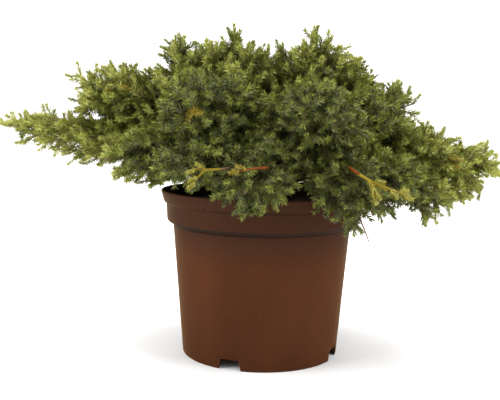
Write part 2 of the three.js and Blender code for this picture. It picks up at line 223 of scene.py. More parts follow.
MASSES = {
    "left_arm": dict(foot=(-84, 0, 185), tip=(-256, 4, 211), spread=46, rise=26),
    "left_upper": dict(foot=(-60, 18, 211), tip=(-191, 22, 250), spread=50, rise=42),
    "left_front": dict(foot=(-56, -40, 191), tip=(-142, -72, 183), spread=46, rise=29),
    "left_back": dict(foot=(-60, 50, 196), tip=(-168, 124, 206), spread=58, rise=40),
    "back_left": dict(foot=(-28, 68, 194), tip=(-74, 190, 185), spread=64, rise=46),
    "back_right": dict(foot=(32, 66, 194), tip=(84, 182, 178), spread=64, rise=46),
    "right_back": dict(foot=(62, 34, 195), tip=(184, 84, 194), spread=54, rise=35),
    "right_arm": dict(foot=(76, -6, 184), tip=(226, -12, 174), spread=54, rise=40),
    "right_front": dict(foot=(62, -40, 186), tip=(165, -84, 147), spread=46, rise=31),
    "front_right": dict(foot=(46, -54, 187), tip=(91, -132, 145), spread=37, rise=33),
    "front_middle": dict(foot=(-2, -52, 194), tip=(-14, -148, 163), spread=44, rise=38),
    "front_left": dict(foot=(-32, -50, 194), tip=(-67, -136, 180), spread=46, rise=30),
    "brow_left": dict(foot=(-24, -28, 208), tip=(-66, -116, 236), spread=56, rise=46),
    "brow_right": dict(foot=(22, -30, 206), tip=(60, -116, 220), spread=56, rise=48),
    "top_left": dict(foot=(-26, 8, 212), tip=(-95, 2, 291), spread=50, rise=50),
    "top_middle": dict(foot=(-8, 4, 216), tip=(-32, 2, 304), spread=46, rise=50),
    "top_right": dict(foot=(18, -5, 214), tip=(66, -6, 304), spread=37, rise=50),
    "shoulder_right": dict(foot=(34, 6, 208), tip=(112, 6, 268), spread=50, rise=46),
    "right_upper": dict(foot=(50, -12, 200), tip=(143, -20, 240), spread=48, rise=42),
    "back_upper": dict(foot=(2, 36, 214), tip=(4, 120, 256), spread=76, rise=50),
}
MASS_NAMES = list(MASSES)

# %% [markdown]
# An egg is a ball that is stretched along its three own axes. With those axes in arrays, numpy
# can say for any number of points at once how far out they lie in every egg.

# %% Work out the eggs of all masses together
FEET = np.array([mass["foot"] for mass in MASSES.values()], float)
TIPS = np.array([mass["tip"] for mass in MASSES.values()], float)
MIDDLES = (FEET + TIPS) / 2
HALVES = np.linalg.norm(TIPS - FEET, axis=1) / 2
FORWARD = unit(TIPS - FEET)
SIDE = unit(np.cross([0.0, 0.0, 1.0], FORWARD))
UP = np.cross(FORWARD, SIDE)
SPREADS = np.array([mass["spread"] for mass in MASSES.values()], float)
RISES = np.array([mass["rise"] for mass in MASSES.values()], float)
EGG_AXES = np.stack([FORWARD, SIDE, UP], axis=1)
EGG_RADII = np.stack([HALVES, SPREADS, RISES], axis=1)


def shares_out(points):
    """How far out each point lies in each egg: 0 in its middle, 1 on its surface."""
    offset = points[:, None, :] - MIDDLES[None]
    return np.linalg.norm(np.einsum("pmk,mak->pma", offset, EGG_AXES) / EGG_RADII, axis=2)


def points_in_egg(index, shares):
    """The points at given shares of one egg's three radii."""
    return MIDDLES[index] + (shares * EGG_RADII[index]) @ EGG_AXES[index]


print("masses:", len(MASSES), "eggs up to", round(float(HALVES.max() * 2)), "mm long")

# %% [markdown]
# ## The effects that the finishes share
# Plastic, compost, bark and needles all vary a little over their surface. One shader node group
# makes that mottling: it lightens and darkens a colour by soft noise, and also gives the noise
# as a height for a Bump node. Each finish sets its own scale and strength. A second group adds
# fine specks, which are dust on the pot, crumbs in the compost and lichen on the bark. A third
# group lays a colour round a thing between two heights, for the painted shade on the pot's band
# and in its creases.

# %% Write helpers for groups, nodes and wires
NOISE_LOW = 0.3
NOISE_HIGH = 0.7
GREY = (0.5, 0.5, 0.5, 1)


def new_group(name, numbers, colours):
    """A shader group with named inputs, a colour output and a height output."""
    group = bpy.data.node_groups.new(name, "ShaderNodeTree")
    sockets = [(label, GREY, "NodeSocketColor") for label in colours]
    sockets += [(label, value, "NodeSocketFloat") for label, value in numbers.items()]
    for label, value, kind in sockets:
        socket = group.interface.new_socket(label, in_out="INPUT", socket_type=kind)
        socket.default_value = value
    group.interface.new_socket("Color", in_out="OUTPUT", socket_type="NodeSocketColor")
    group.interface.new_socket("Height", in_out="OUTPUT", socket_type="NodeSocketFloat")
    return group, group.nodes.new("NodeGroupInput"), group.nodes.new("NodeGroupOutput")


def add(tree, kind, operation=None, group=None, **values):
    """A new node, with its operation or its group, and the values of its sockets."""
    node = tree.nodes.new(kind)
    if operation:
        node.operation = operation
    if group:
        node.node_tree = group
    for socket, value in values.items():
        node.inputs[socket.replace("_", " ")].default_value = value
    return node


def wire(tree, *wires):
    """Leads outputs to inputs. Each wire names a node and its output, a node and its input."""
    for giver, output, taker, entry in wires:
        tree.links.new(giver.outputs[output], taker.inputs[entry])


# %% [markdown]
# A group could be drawn by hand in the shader editor. Written as a list of wires, it can be read
# from top to bottom: which output leads to which input.

# %% Build the three shared node groups
def mottle_group():
    """Soft patches, lighter and darker, whose size and strength each finish sets."""
    group, given, made = new_group("Mottle", {"Scale": 60, "Amount": 0.3, "Stretch": 1}, ["Color"])
    place = add(group, "ShaderNodeTexCoord")
    stretch = add(group, "ShaderNodeCombineXYZ", X=1, Y=1)
    stretched = add(group, "ShaderNodeVectorMath", "MULTIPLY")
    patches = add(group, "ShaderNodeTexNoise", Detail=4)
    lift = add(group, "ShaderNodeMapRange", From_Min=NOISE_LOW, From_Max=NOISE_HIGH)
    low = add(group, "ShaderNodeMath", "SUBTRACT", Value=1)
    high = add(group, "ShaderNodeMath", Value=1)
    tinted = add(group, "ShaderNodeVectorMath", "SCALE")
    wire(
        group,
        (given, "Stretch", stretch, "Z"),
        (place, "Object", stretched, 0),
        (stretch, "Vector", stretched, 1),
        (stretched, "Vector", patches, "Vector"),
        (given, "Scale", patches, "Scale"),
        (patches, "Fac", lift, "Value"),
        (given, "Amount", low, 1),
        (given, "Amount", high, 1),
        (low, "Value", lift, "To Min"),
        (high, "Value", lift, "To Max"),
        (given, "Color", tinted, 0),
        (lift, "Result", tinted, "Scale"),
        (tinted, "Vector", made, "Color"),
        (patches, "Fac", made, "Height"),
    )
    return group


def colour_mix(group, given, second, strength, made):
    """Lays a second colour over the first one, as strongly as a node says."""
    mixed = add(group, "ShaderNodeMix")
    mixed.data_type = "RGBA"
    wire(
        group,
        (strength, "Value", mixed, "Factor"),
        (given, "Color", mixed, "A"),
        (given, second, mixed, "B"),
        (mixed, "Result", made, "Color"),
    )


def specks_group():
    """Small sharp-edged specks of a second colour over a first one."""
    group, given, made = new_group("Specks", {"Scale": 400, "Cover": 0.3}, ["Color", "Speck"])
    place = add(group, "ShaderNodeTexCoord")
    crumbs = add(group, "ShaderNodeTexNoise", Detail=3)
    edge = add(group, "ShaderNodeMapRange", From_Min=0.62, From_Max=0.7)
    strength = add(group, "ShaderNodeMath", "MULTIPLY")
    colour_mix(group, given, "Speck", strength, made)
    wire(
        group,
        (place, "Object", crumbs, "Vector"),
        (given, "Scale", crumbs, "Scale"),
        (crumbs, "Fac", edge, "Value"),
        (edge, "Result", strength, 0),
        (given, "Cover", strength, 1),
        (crumbs, "Fac", made, "Height"),
    )
    return group


# On the pot this ring lays painted shade.
def ring_group():
    """A second colour between two heights of a thing, patchy, that fades out below and above."""
    numbers = {"Low": 0, "High": 1, "Fade": 0.01, "Amount": 1}
    group, given, made = new_group("Ring", numbers, ["Color", "Ring"])
    place = add(group, "ShaderNodeTexCoord")
    height = add(group, "ShaderNodeSeparateXYZ")
    below = add(group, "ShaderNodeMath", "SUBTRACT")
    over = add(group, "ShaderNodeMath")
    rise = add(group, "ShaderNodeMapRange")
    fall = add(group, "ShaderNodeMapRange")
    patches = add(group, "ShaderNodeTexNoise", Scale=45)
    patchy = add(group, "ShaderNodeMapRange", From_Min=0.35, From_Max=0.65, To_Min=0.82)
    inside, patchy_mask, strength = [add(group, "ShaderNodeMath", "MULTIPLY") for _ in range(3)]
    colour_mix(group, given, "Ring", strength, made)
    wire(
        group,
        (place, "Object", height, "Vector"),
        (place, "Object", patches, "Vector"),
        (patches, "Fac", patchy, "Value"),
        (given, "Low", below, 0),
        (given, "Fade", below, 1),
        (given, "High", over, 0),
        (given, "Fade", over, 1),
        (height, "Z", rise, "Value"),
        (below, "Value", rise, "From Min"),
        (given, "Low", rise, "From Max"),
        (height, "Z", fall, "Value"),
        (over, "Value", fall, "From Min"),
        (given, "High", fall, "From Max"),
        (rise, "Result", inside, 0),
        (fall, "Result", inside, 1),
        (inside, "Value", patchy_mask, 0),
        (patchy, "Result", patchy_mask, 1),
        (patchy_mask, "Value", strength, 0),
        (given, "Amount", strength, 1),
        (strength, "Value", made, "Height"),
    )
    return group


MOTTLE = mottle_group()
SPECKS = specks_group()
RING = ring_group()
print("shared groups:", MOTTLE.name, SPECKS.name, RING.name)

# %% [markdown]
# ## Finishes
# Every finish is a Principled shader. Its colour passes through the shared groups, its
# roughness follows the mottling, and a Bump node gives the fine relief that is too small to
# model: the satin grain of moulded plastic, crumbs of peat, flakes of bark.

# %% Write a helper for finishes
def colour(red, green, blue):
    """A colour given as on a screen, from 0 to 255, as the shader wants it."""
    parts = np.array([red, green, blue]) / 255
    linear = np.where(parts <= 0.04045, parts / 12.92, ((parts + 0.055) / 1.055) ** 2.4)
    return (*(float(value) for value in linear), 1.0)


def finish(name, base, mottle, rough, bump=None, specks=None, rings=(), **sockets):
    """A material: a mottled, speckled colour, roughness between two values, and a bump."""
    material = bpy.data.materials.new(name)
    material.use_nodes = True
    material.diffuse_color = base
    tree = material.node_tree
    shader = tree.nodes["Principled BSDF"]
    for socket, value in sockets.items():
        shader.inputs[socket.replace("_", " ")].default_value = value
    patches = add(tree, "ShaderNodeGroup", group=MOTTLE, Color=base, **mottle)
    last = patches
    if specks:
        last = add(tree, "ShaderNodeGroup", group=SPECKS, **specks)
        wire(tree, (patches, "Color", last, "Color"))
    coloured = last
    for values in rings:
        ring = add(tree, "ShaderNodeGroup", group=RING, **values)
        wire(tree, (coloured, "Color", ring, "Color"))
        coloured = ring
    spread = add(tree, "ShaderNodeMapRange", From_Min=NOISE_LOW, From_Max=NOISE_HIGH)
    for end, value in zip(("To Min", "To Max"), rough):
        spread.inputs[end].default_value = value
    wire(
        tree,
        (coloured, "Color", shader, "Base Color"),
        (patches, "Height", spread, "Value"),
        (spread, "Result", shader, "Roughness"),
    )
    if bump:
        distance, strength = bump
        relief = add(tree, "ShaderNodeBump", Distance=distance * MM, Strength=strength)
        wire(tree, (last, "Height", relief, "Height"), (relief, "Normal", shader, "Normal"))
    return material


# %% [markdown]
# Old nursery pots are a dull brown that has been handled, splashed and left in the sun. The band
# and lip get painted shade where the crown overhangs them, darkest as painted shade in the crease
# at the band's foot and under the lip. Juniper wood is brown and flaky when old, orange where it
# is bare, and yellow or green when it is new.

# %% Mix the finishes of pot, compost and wood
# Painted shade: the band and lip are darker where the crown overhangs the pot.
BAND_PAINTED_SHADE = colour(49, 33, 24)
# Painted shade in the creases at the band's foot and under the lip.
CREASE_PAINTED_SHADE = colour(26, 18, 14)
pot_plastic = finish(
    "moulded_plastic",
    colour(66, 37, 22),
    dict(Scale=26, Amount=0.1, Stretch=0.5),
    rough=(0.5, 0.62),
    bump=(0.04, 0.2),
    specks=dict(Speck=colour(122, 84, 54), Scale=700, Cover=0.15),
    # The rings lay painted shade on the band and lip, darkest in the creases under band and lip.
    rings=[
        dict(Ring=BAND_PAINTED_SHADE, Low=0.118, High=0.2, Fade=0.026, Amount=0.75),
        dict(Ring=CREASE_PAINTED_SHADE, Low=0.1212, High=0.1235, Fade=0.0008, Amount=0.8),
        dict(Ring=CREASE_PAINTED_SHADE, Low=0.1418, High=0.1428, Fade=0.0006, Amount=0.7),
    ],
    Specular_IOR_Level=0.01,
    Sheen_Weight=0.3,
    Sheen_Roughness=0.3,
    Sheen_Tint=colour(205, 160, 60),
)
# A darker plastic for the inside of the pot, also used as painted shade under the band.
dark_plastic_and_painted_shade = finish(
    "dark_plastic_and_painted_shade",
    colour(38, 28, 22),
    dict(Scale=60, Amount=0.3, Stretch=0.5),
    rough=(0.7, 0.9),
    bump=(0.1, 0.3),
    specks=dict(Speck=colour(62, 46, 34), Scale=400, Cover=0.4),
    Specular_IOR_Level=0.04,
)
compost = finish(
    "peat",
    colour(34, 27, 21),
    dict(Scale=90, Amount=0.45, Stretch=1),
    rough=(0.85, 1.0),
    bump=(1.2, 0.8),
    specks=dict(Speck=colour(84, 62, 42), Scale=260, Cover=0.6),
)
old_bark = finish(
    "old_bark",
    colour(104, 66, 44),
    dict(Scale=120, Amount=0.45, Stretch=0.2),
    rough=(0.75, 0.95),
    bump=(0.5, 0.7),
    specks=dict(Speck=colour(150, 108, 76), Scale=420, Cover=0.6),
)
young_bark = finish(
    "young_bark",
    colour(98, 76, 46),
    dict(Scale=240, Amount=0.3, Stretch=0.5),
    rough=(0.55, 0.75),
    bump=(0.15, 0.5),
)
orange_bark = finish(
    "orange_bark",
    colour(98, 48, 6),
    dict(Scale=180, Amount=0.35, Stretch=0.4),
    rough=(0.5, 0.7),
    bump=(0.2, 0.5),
    Specular_IOR_Level=0.1,
)
yellow_wood = finish(
    "yellow_wood",
    colour(116, 99, 21),
    dict(Scale=240, Amount=0.2, Stretch=1),
    rough=(0.5, 0.65),
    Specular_IOR_Level=0.1,
)
green_wood = finish(
    "green_wood",
    colour(104, 102, 50),
    dict(Scale=240, Amount=0.25, Stretch=1),
    rough=(0.5, 0.65),
)
print("finishes:", [material.name for material in bpy.data.materials])

# %% [markdown]
# ## Needle colours
# A juniper's needles are dark and dull deep in the crown, olive on its surface, and fresher and
# yellower towards the tips of the long arms. Each shoot gets one plain colour of a short range,
# chosen by where it grows, with some chance. The darker and lighter colours also serve as
# painted shade and painted light.

# %% Mix the needle finishes from dark to pale
NEEDLE_COLOURS = {
    "needle_deep": colour(76, 81, 42),
    "needle_shade": colour(93, 99, 44),
    "needle_green": colour(109, 116, 44),
    "needle_olive": colour(128, 134, 51),
    "needle_fresh": colour(146, 150, 66),
    "needle_pale": colour(164, 166, 84),
    "needle_gold": colour(138, 122, 40),
    "needle_yellow": colour(142, 136, 52),
}
NEEDLE_MOTTLE = dict(Scale=300, Amount=0.18, Stretch=1)
needle_finishes = [
    finish(name, base, NEEDLE_MOTTLE, rough=(0.45, 0.65), Specular_IOR_Level=0.3)
    for name, base in NEEDLE_COLOURS.items()
]
DEEP, SHADE, GREEN, FRESH, PALE, GOLD, YELLOW = [
    list(NEEDLE_COLOURS).index("needle_" + name)
    for name in ("deep", "shade", "green", "fresh", "pale", "gold", "yellow")
]
print("needle finishes:", len(needle_finishes))

# %% [markdown]
# ## The pot
# The pot is moulded plastic: a thin wall that tapers to the foot, a wider band round the top
# that rests a second pot in a stack, and a flared lip. A lathe outline turned round the axis
# gives all of it, and the outline is the one of the solid with its corners rounded. Turning
# it with many sides makes the wall smooth.

# %% Round the corners of the pot's outline
POT_SIDES = 180
POT_OUTLINE = [
    (0, 0), (40, 0), (43, 10.5), (70.8, 10.5), (71, 0), (72.9, 0), (73.4, 1.2), (83.3, 121),
    (84.2, 123), (88.3, 125.2), (89.2, 127), (90, 142.2), (92, 143), (95, 152.8), (94.6, 154),
    (93.3, 154), (90.3, 144), (88.3, 143), (87.5, 128.2), (82, 124.4), (81.6, 121),
    (72.3, 12.2), (41.3, 12.2), (38.3, 1.7), (0, 1.7),
]
LARGEST_ROUND = 0.9
ROUND_SHARE = 0.4
ROUND_STEPS = 3


def rounded_outline(corners):
    """Replaces each inner corner of an outline by a short arc."""
    corners = [np.array(corner, float) for corner in corners]
    outline = [corners[0]]
    for before, corner, after in zip(corners, corners[1:], corners[2:]):
        back, on = before - corner, after - corner
        room = ROUND_SHARE * min(np.linalg.norm(back), np.linalg.norm(on))
        reach = min(LARGEST_ROUND, room)
        arc = (corner + unit(back) * reach, corner, corner + unit(on) * reach)
        outline += [on_line(arc, share) for share in np.linspace(0, 1, ROUND_STEPS)]
    outline.append(corners[-1])
    return np.array(outline)


def turned_shell(name, outline, sides):
    """A closed shell turned round the upright axis from an outline that starts and ends on it."""
    angles = 2 * np.pi * np.arange(sides) / sides
    radii, heights = outline[1:-1, :1], outline[1:-1, 1:]
    circles = [radii * np.cos(angles), radii * np.sin(angles), np.repeat(heights, sides, axis=1)]
    shell = bmesh.new()
    corners = [shell.verts.new(point * MM) for point in np.stack(circles, axis=2).reshape(-1, 3)]
    ends = [shell.verts.new((0, 0, end[1] * MM)) for end in (outline[0], outline[-1])]
    bands = len(radii) - 1
    for quad in ring_quads(bands, sides):
        shell.faces.new([corners[i] for i in quad])
    last = bands * sides
    for side in range(sides):
        following = (side + 1) % sides
        shell.faces.new((ends[0], corners[following], corners[side]))
        shell.faces.new((ends[1], corners[last + side], corners[last + following]))
    return mesh_from_bmesh(name, shell)


outline = rounded_outline(POT_OUTLINE)
pot = turned_shell("nursery_pot", outline, POT_SIDES)
pot.data.materials.append(pot_plastic)
print("pot outline:", len(outline), "points")

# %% [markdown]
# Four drainage notches are cut through the foot of the wall. A Boolean modifier cuts them with
# wedges that are wider at the bottom. A shallow, wider wedge cuts the moulded frame round each
# notch only a fraction of a millimetre into the outside of the wall. The same way a small tick
# is sunk under the lip. The inside of the pot gets a darker plastic, and the underside of its
# band the same dark finish as painted shade.

# %% Cut the drainage notches, their shallow frames and the tick
NOTCH_COUNT = 4
NOTCH_FIRST_ANGLE = -111
NOTCH_WIDTHS = (21.5, 17)
NOTCH_HEIGHT = 9.5
NOTCH_CUT = (60, 78)
FRAME_MARGIN = 3.2
FRAME_DEPTH = 0.45
FRAME_REACH = 4
FOOT_RADIUS = 73.4
INSIDE_TOP = 152
BAND_FOOT = 123
BAND_EDGE = 127
UNDERSIDE = -0.5
TICK_ANGLE = -122.2
TICK_WIDTH = 0.9
TICK_FOOT = 142
TICK_TOP = 145.5
TICK_CUT = (91, 97)
WALL_SLOPE = (83.3 - FOOT_RADIUS) / 121
SHARP_ANGLE = 32


def wedge(widths, height, start, end, angle, foot=-1):
    """A cutter as a list of eight corners from its foot up: start and end are radii at the foot."""
    bottom, top = widths
    half_below = bottom / 2 + (bottom - top) / 2 / height
    corners = []
    for radius in (start, end):
        outer = radius + WALL_SLOPE * (height - foot)
        corners += [(radius, -half_below, foot), (radius, half_below, foot)]
        corners += [(outer, top / 2, height), (outer, -top / 2, height)]
    turn = Matrix.Rotation(math.radians(angle), 3, "Z")
    return [turn @ Vector(corner) * MM for corner in corners]


def cut(thing, name, wedges):
    """Cuts wedges out of an object, keeps the result and removes the cutter."""
    solid = bmesh.new()
    for corners in wedges:
        a = [solid.verts.new(corner) for corner in corners]
        sides = ((0, 1, 2, 3), (7, 6, 5, 4), (0, 4, 5, 1), (1, 5, 6, 2), (2, 6, 7, 3), (3, 7, 4, 0))
        for side in sides:
            solid.faces.new([a[i] for i in side])
    cutter = mesh_from_bmesh(name, solid)
    knife = thing.modifiers.new("cut", "BOOLEAN")
    knife.operation = "DIFFERENCE"
    knife.solver = "EXACT"
    knife.object = cutter
    finished = thing.evaluated_get(bpy.context.evaluated_depsgraph_get())
    mesh = bpy.data.meshes.new_from_object(finished)
    thing.modifiers.remove(knife)
    old, thing.data = thing.data, mesh
    mesh.name = old.name
    bpy.data.meshes.remove(old)
    bpy.data.objects.remove(cutter)


notch_angles = [NOTCH_FIRST_ANGLE + 360 / NOTCH_COUNT * i for i in range(NOTCH_COUNT)]
frame_widths = [width + 2 * FRAME_MARGIN for width in NOTCH_WIDTHS]
frame_height = NOTCH_HEIGHT + FRAME_MARGIN
frame_start = math.sqrt(FOOT_RADIUS**2 - (NOTCH_WIDTHS[0] / 2) ** 2) - FRAME_DEPTH
frame_end = FOOT_RADIUS + FRAME_REACH
frames = [wedge(frame_widths, frame_height, frame_start, frame_end, angle) for angle in notch_angles]
notches = [wedge(NOTCH_WIDTHS, NOTCH_HEIGHT, *NOTCH_CUT, angle) for angle in notch_angles]
tick = wedge((TICK_WIDTH, TICK_WIDTH), TICK_TOP, *TICK_CUT, TICK_ANGLE, foot=TICK_FOOT)
cut(pot, "frame_cutter", frames)
cut(pot, "notch_cutter", notches)
cut(pot, "tick_cutter", [tick])
smooth(pot.data)
pot.data.set_sharp_from_angle(angle=math.radians(SHARP_ANGLE))
pot.data.materials.append(dark_plastic_and_painted_shade)
# Inner faces get the darker plastic, and the band's underside gets it as painted shade.
for face in pot.data.polygons:
    inward = face.center.x * face.normal.x + face.center.y * face.normal.y < 0
    under_band = face.normal.z < UNDERSIDE and BAND_FOOT * MM < face.center.z < BAND_EDGE * MM
    if under_band or (inward and face.center.z < INSIDE_TOP * MM):
        face.material_index = 1
part_of_plant(pot, "pot_plastic", "pot")
print("notches at", notch_angles, "degrees")

# %% [markdown]
# ## The compost
# Peat compost is a dark, crumbly surface. A turned disc moved up and down by noise gives its
# lumps, and a few hundred loose crumbs break up the smoothness where the light falls on it.

# %% Lay the compost and its crumbs
SOIL_RADIUS = 87.2
SOIL_SIDES = 120
SOIL_RINGS = 44
SOIL_BODY = ((SOIL_RADIUS, 129), (81.3, 124), (71.9, 12.6), (41, 12.6), (38, 2.1))
SOIL_SINK = 0.9
SOIL_RIM_DROP = 1.5
SOIL_DROP_RADIUS = 87
LUMP_HEIGHT = 1.3 * 0.7
LARGE_LUMP = 9
SMALL_LUMP = 3.5
CRUMBS = 700
CRUMB_SPREAD = 85
CRUMB_SIZES = (0.4, 1.5)
CRUMB_ROUGHNESS = 0.15


def soil_height(x, y):
    """Height of the compost: a low mound with lumps."""
    lumps = noise.noise(Vector((x, y, 3)) / LARGE_LUMP)
    lumps += 0.5 * noise.noise(Vector((x, y, 8)) / SMALL_LUMP)
    drop = SOIL_RIM_DROP * math.hypot(x, y) / SOIL_DROP_RADIUS
    return SOIL_TOP - SOIL_SINK - drop + LUMP_HEIGHT * lumps


def compost_mesh():
    """The top as rings of lumpy points, then the plain sides and underside hidden in the pot."""
    angles = [2 * math.pi * side / SOIL_SIDES for side in range(SOIL_SIDES)]
    points, faces = [(0, 0, soil_height(0, 0))], []
    for ring in range(1, SOIL_RINGS + 1):
        radius = SOIL_RADIUS * ring / SOIL_RINGS
        for angle in angles:
            x, y = radius * math.cos(angle), radius * math.sin(angle)
            points.append((x, y, soil_height(x, y)))
    for radius, z in SOIL_BODY:
        points += [(radius * math.cos(angle), radius * math.sin(angle), z) for angle in angles]
    points.append((0, 0, SOIL_BODY[-1][1]))
    rings = SOIL_RINGS + len(SOIL_BODY) - 1
    last = 1 + rings * SOIL_SIDES
    for side in range(SOIL_SIDES):
        following = (side + 1) % SOIL_SIDES
        faces.append((0, 1 + side, 1 + following))
        for start in range(1, last, SOIL_SIDES):
            a, b = start + side, start + following
            c, d = b + SOIL_SIDES, a + SOIL_SIDES
            faces += [(a, d, c), (a, c, b)]
        faces.append((last + side, len(points) - 1, last + following))
    return np.array(points, float), np.array(faces)


def crumb_meshes():
    """Loose crumbs: squashed, turned octahedra sunk a little into the compost."""
    ball = np.array([(1, 0, 0), (-1, 0, 0), (0, 1, 0), (0, -1, 0), (0, 0, 1), (0, 0, -1)], float)
    shell = [(0, 2, 4), (2, 1, 4), (1, 3, 4), (3, 0, 4), (2, 0, 5), (1, 2, 5), (3, 1, 5), (0, 3, 5)]
    radius = CRUMB_SPREAD * np.sqrt(chance.random(CRUMBS))
    angle = 2 * np.pi * chance.random(CRUMBS)
    x, y = radius * np.cos(angle), radius * np.sin(angle)
    keep = radius > TRUNK_FOOT_RADIUS + FLARE_RADIUS
    ground = np.array([soil_height(a, b) for a, b in zip(x, y)])
    middles = np.stack([x, y, ground], axis=1)[keep]
    sizes = chance.uniform(*CRUMB_SIZES, (len(middles), 1, 3))
    corners = ball[None] * sizes + chance.normal(0, CRUMB_ROUGHNESS, (len(middles), len(ball), 3))
    points = (corners + middles[:, None]).reshape(-1, 3)
    return points, repeated(shell, len(ball), len(middles))


ground_points, ground_faces = compost_mesh()
crumb_points, crumb_faces = crumb_meshes()
soil_points = np.vstack([ground_points, crumb_points])
soil_faces = np.vstack([ground_faces, crumb_faces + len(ground_points)])
soil_finish = np.zeros(len(soil_faces), int)
soil = mesh_from_arrays("compost", soil_points, soil_faces, soil_finish, [compost])
part_of_plant(soil, "compost", "soil")

# %% [markdown]
# ## Trunk, boughs and stems
# All the wood is tubes along bent lines. Their radius falls from foot to tip, the trunk's foot
# flares into the tops of its roots, and the relief of the bark is real: long ridges and flakes
# that noise adds to the radius.

# %% Sweep a tube with bark relief along a line
ASIDE = (0.3, 0.9, 0.2)
FLAKE_LENGTH = 14
TIP_ROUND = 0.6


def swept_tube(line, radii_at, sides, rings, relief, grain):
    """Points and triangles of a tube, whose section is radii_at(share, angle)."""
    share = np.linspace(0, 1, rings + 1)
    centres = on_line(line, share)
    along = heading(line, share)
    across = unit(np.cross(along, ASIDE))
    above = np.cross(along, across)
    angle = 2 * np.pi * np.arange(sides) / sides
    length = np.linalg.norm(np.diff(centres, axis=0), axis=1)
    heights = np.concatenate([[0], np.cumsum(length)]) / FLAKE_LENGTH + seed_of(line)
    around = [(math.cos(a) * grain, math.sin(a) * grain) for a in angle]
    ridges = [[noise.fractal(Vector((x, y, z)), 1.0, 2.0, 3) for x, y in around] for z in heights]
    radius = radii_at(share[:, None], angle[None]) * (1 + relief * np.array(ridges))
    points = (
        centres[:, None]
        + (radius * np.cos(angle))[..., None] * across[:, None]
        + (radius * np.sin(angle))[..., None] * above[:, None]
    ).reshape(-1, 3)
    points = np.vstack([points, centres[-1] + along[-1] * radius[-1].mean() * TIP_ROUND])
    return points, tube_faces(rings, sides)


def seed_of(line):
    """A number that differs from line to line, to give each its own bark."""
    return float(line[2] @ [0.37, 0.71, 0.13])


def joined(meshes):
    """Joins points and triangles of several meshes, and tells each face's number in the list."""
    points, faces, owner, count = [], [], [], 0
    for number, (some_points, some_faces) in enumerate(meshes):
        points.append(some_points)
        faces.append(some_faces + count)
        owner.append(np.full(len(some_faces), number))
        count += len(some_points)
    return np.vstack(points), np.vstack(faces), np.concatenate(owner)


# %% [markdown]
# The boughs leave the trunk one above the other, so that each has room on it. Each one ends
# where its mass of foliage starts, and a stem runs on from there, so that wood leads to every
# twig.

# %% Draw the lines of the boughs and of the stems that run on from them
def bough_lines():
    """Boughs leave the trunk one above the other, the ones that rise most from the top."""
    steepness = (FEET[:, 2] - SOIL_TOP) / np.hypot(FEET[:, 0], FEET[:, 1])
    lines = {}
    for rank, index in enumerate(np.argsort(steepness, kind="stable")):
        share = rank / (len(MASSES) - 1)
        height = between(BOUGH_BASES, share)
        start = on_line(TRUNK_LINE, (height - SOIL_TOP) / (TRUNK_TOP - SOIL_TOP))
        end = FEET[index]
        bend = (start + end) / 2
        bend[2] -= BOUGH_SAG * np.linalg.norm(end - start)
        lines[index] = np.array([start, bend, end])
    return [lines[index] for index in range(len(MASSES))]


STEM_BEND = 0.35
STEM_TIP = 0.93
STEM_TIP_RADIUS = 0.7
BOUGHS = bough_lines()


def stem_line(index):
    """The stem of a mass starts in its bough's direction and ends near the egg's tip."""
    onward = heading(BOUGHS[index], 1.0)
    start = FEET[index]
    end = points_in_egg(index, np.array([2 * STEM_TIP - 1, 0, 0]))
    bend = start + onward * STEM_BEND * np.linalg.norm(end - start)
    return np.array([start, bend, end])


STEMS = [stem_line(index) for index in range(len(MASSES))]


# %% [markdown]
# All the wood can be one mesh, because nothing on it moves. The trunk and the boughs get old
# bark, and the stems young bark.

# %% Make the wood in one piece
ROOT_HOLLOWS = 0.65
ROOT_RIDGES = 0.35


def trunk_radius(share, angle):
    """The trunk tapers, and its foot swells into five root tops."""
    length = np.linalg.norm(TRUNK_LINE[2] - TRUNK_LINE[0])
    flare = FLARE_RADIUS * np.exp(-share * length / FLARE_HEIGHT)
    lobes = ROOT_HOLLOWS + ROOT_RIDGES * np.cos(FLARE_LOBES * angle)
    return between((TRUNK_FOOT_RADIUS, TRUNK_TOP_RADIUS), share) + flare * lobes


def taper(foot, tip):
    """A section that goes evenly from one radius to another."""
    return lambda share, angle: between((foot, tip), share) + 0 * angle


def tubes(lines, section, **fineness):
    """Tubes of one section and fineness along several lines."""
    return [swept_tube(line, section, **fineness) for line in lines]


wood = tubes([TRUNK_LINE], trunk_radius, sides=60, rings=64, relief=0.13, grain=3.2)
wood += tubes(BOUGHS, taper(*BOUGH_RADII), sides=14, rings=44, relief=0.16, grain=1.6)
stem_taper = taper(BOUGH_RADII[1], STEM_TIP_RADIUS)
wood += tubes(STEMS, stem_taper, sides=8, rings=26, relief=0.14, grain=1.3)
wood_points, wood_faces, wood_owner = joined(wood)
wood_finish = (wood_owner > len(BOUGHS)).astype(int)
barks = [old_bark, young_bark]
bark = mesh_from_arrays("trunk_and_boughs", wood_points, wood_faces, wood_finish, barks)
smooth(bark.data)
part_of_plant(bark, "bark", "trunk", *("bough_" + name for name in MASS_NAMES))

# %% [markdown]
# ## Twigs
# Inside each egg, twigs fan out from the stem to points spread evenly over the egg by the golden
# angle, the way seeds sit in a sunflower. The first layer is the one that the solids have. Two
# more layers by the same rule put finer twigs between them, one just under the surface and one
# deeper, so that the crown is dense but not solid. A twig that would leave its mass's own space
# is drawn in step by step, and left out if that doesn't help.
# A few leading twigs reach further than the rest and give the crown its ragged edge. Small gaps
# let the light through between them. A gap runs from front to back and is given by its place
# across, its height and its radius. Only the leading twigs and their shoots may end in one.

